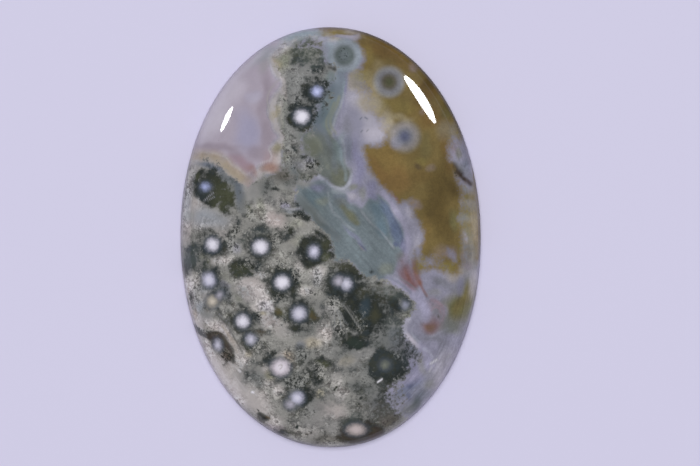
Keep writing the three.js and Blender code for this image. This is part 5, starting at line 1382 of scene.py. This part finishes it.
def cabochon():
    """The stone: one smooth closed mesh that carries where each of its markings lies."""
    points, faces = stone_mesh()
    mesh = bpy.data.meshes.new("ocean_jasper_cabochon")
    mesh.from_pydata((points * MM).tolist(), [], faces)
    mesh.shade_smooth()
    places = seen_places(points)
    bent_places = wandered(places)
    eye_depth, eye_colour = eyes(places)
    depths = carried_depths(points, places, bent_places, eye_depth)
    colours = carried_colours(places, bent_places, eye_colour)
    for name, values in depths.items():
        carry(mesh, name, "FLOAT", "value", values)
    for name, values in colours.items():
        solid = np.ones((len(values), 4))
        solid[:, : values.shape[1]] = values
        carry(mesh, name, "FLOAT_COLOR", "color", solid)
    carry(mesh, "rim_place", "FLOAT_VECTOR", "vector", places_by_rim(points) * MM)
    mesh.materials.append(ocean_jasper(depths, colours))
    stone = bpy.data.objects.new("ocean_jasper_cabochon", mesh)
    bpy.context.collection.objects.link(stone)
    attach(stone, "root")
    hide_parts("cabochon")


def stage_sheet(name, material_name, colour, points, faces):
    """A thin matt sheet that is part of the stage, from points in mm."""
    mesh = bpy.data.meshes.new(name)
    mesh.from_pydata((np.array(points) * MM).tolist(), [], faces)
    material = bpy.data.materials.new(material_name)
    material.use_nodes = True
    shader = material.node_tree.nodes["Principled BSDF"]
    shader.inputs["Base Color"].default_value = linear(colour)
    for socket, value in MATT_FINISH.items():
        shader.inputs[socket].default_value = value
    mesh.materials.append(material)
    sheet = bpy.data.objects.new(name, mesh)
    bpy.context.collection.objects.link(sheet)
    return sheet


def table():
    """A plain board in pale matt paint, which scatters light evenly. It lies a hair below the stone."""
    corners = [(-1, -1), (1, -1), (1, 1), (-1, 1)]
    points = [(x * TABLE_HALF, y * TABLE_HALF, -TABLE_GAP) for x, y in corners]
    stage_sheet("table_top", "matt_painted_board", TABLE_COLOUR, points, [(0, 1, 2, 3)])


def dark_card():
    """A card in dull dark paper that lies round the stone's upper right, as its gloss alone sees it."""
    edge = outline_point(np.radians(np.linspace(*CARD_ANGLES, CARD_STEPS)))
    outwards = outline_normal(edge)
    flat = np.vstack([edge + CARD_GAP * outwards, edge + CARD_REACH * outwards])
    points = np.column_stack([flat, np.full(len(flat), CARD_HEIGHT)])
    faces = [(k, k + CARD_STEPS, k + CARD_STEPS + 1, k + 1) for k in range(CARD_STEPS - 1)]
    card = stage_sheet("dark_card", "matt_dark_card", CARD_COLOUR, points, faces)
    card.visible_camera = False
    card.visible_diffuse = False
    card.visible_shadow = False


def lamp(name, azimuth, elevation, distance, width, height, radiance, shape, glossy, diffuse):
    """A soft box that faces the stone, from a compass direction and a height above the table in degrees."""
    around, up = math.radians(azimuth), math.radians(elevation)
    light = bpy.data.lights.new(name, "AREA")
    light.shape = shape
    light.size = width * MM
    light.size_y = height * MM
    light.energy = radiance * (width * MM) * (height * MM) * math.pi
    holder = bpy.data.objects.new(name, light)
    level, rise = distance * math.cos(up), distance * math.sin(up)
    holder.location = (level * math.cos(around) * MM, level * math.sin(around) * MM, rise * MM)
    holder.rotation_euler = (math.pi / 2 - up, 0, around + math.pi / 2)
    holder.visible_camera = False
    holder.visible_glossy = glossy
    holder.visible_diffuse = diffuse
    bpy.context.collection.objects.link(holder)


def studio():
    """A broad overhead light that doesn't show in the gloss, and two soft boxes that do."""
    for settings in LAMPS:
        lamp(*settings)
    world = bpy.data.worlds.new("studio_walls")
    world.use_nodes = True
    background = world.node_tree.nodes["Background"]
    background.inputs["Color"].default_value = linear(WALL_COLOUR)
    background.inputs["Strength"].default_value = WALL_STRENGTH
    bpy.context.scene.world = world


def camera():
    """Straight above the stone, which lies off the picture's middle and a little turned."""
    data = bpy.data.cameras.new("camera")
    data.lens = LENS_MM
    data.sensor_width = SENSOR_MM
    data.clip_start = NEAREST_SEEN * MM
    data.clip_end = FARTHEST_SEEN * MM
    right = (PICTURE_WIDTH / 2 - STONE_PIXEL[0]) / PIXELS_PER_MM
    up = (STONE_PIXEL[1] - PICTURE_HEIGHT / 2) / PIXELS_PER_MM
    cosine, sine = math.cos(STONE_TURN), math.sin(STONE_TURN)
    x, y = right * cosine + up * sine, up * cosine - right * sine
    view = bpy.data.objects.new("camera", data)
    view.location = (x * MM, y * MM, (WIDEST_HEIGHT + SIGHT) * MM)
    view.rotation_euler = (0, 0, -STONE_TURN)
    bpy.context.collection.objects.link(view)
    bpy.context.scene.camera = view


camera()
studio()
table()
dark_card()
cabochon()
bpy.context.scene.view_settings.view_transform = "Standard"
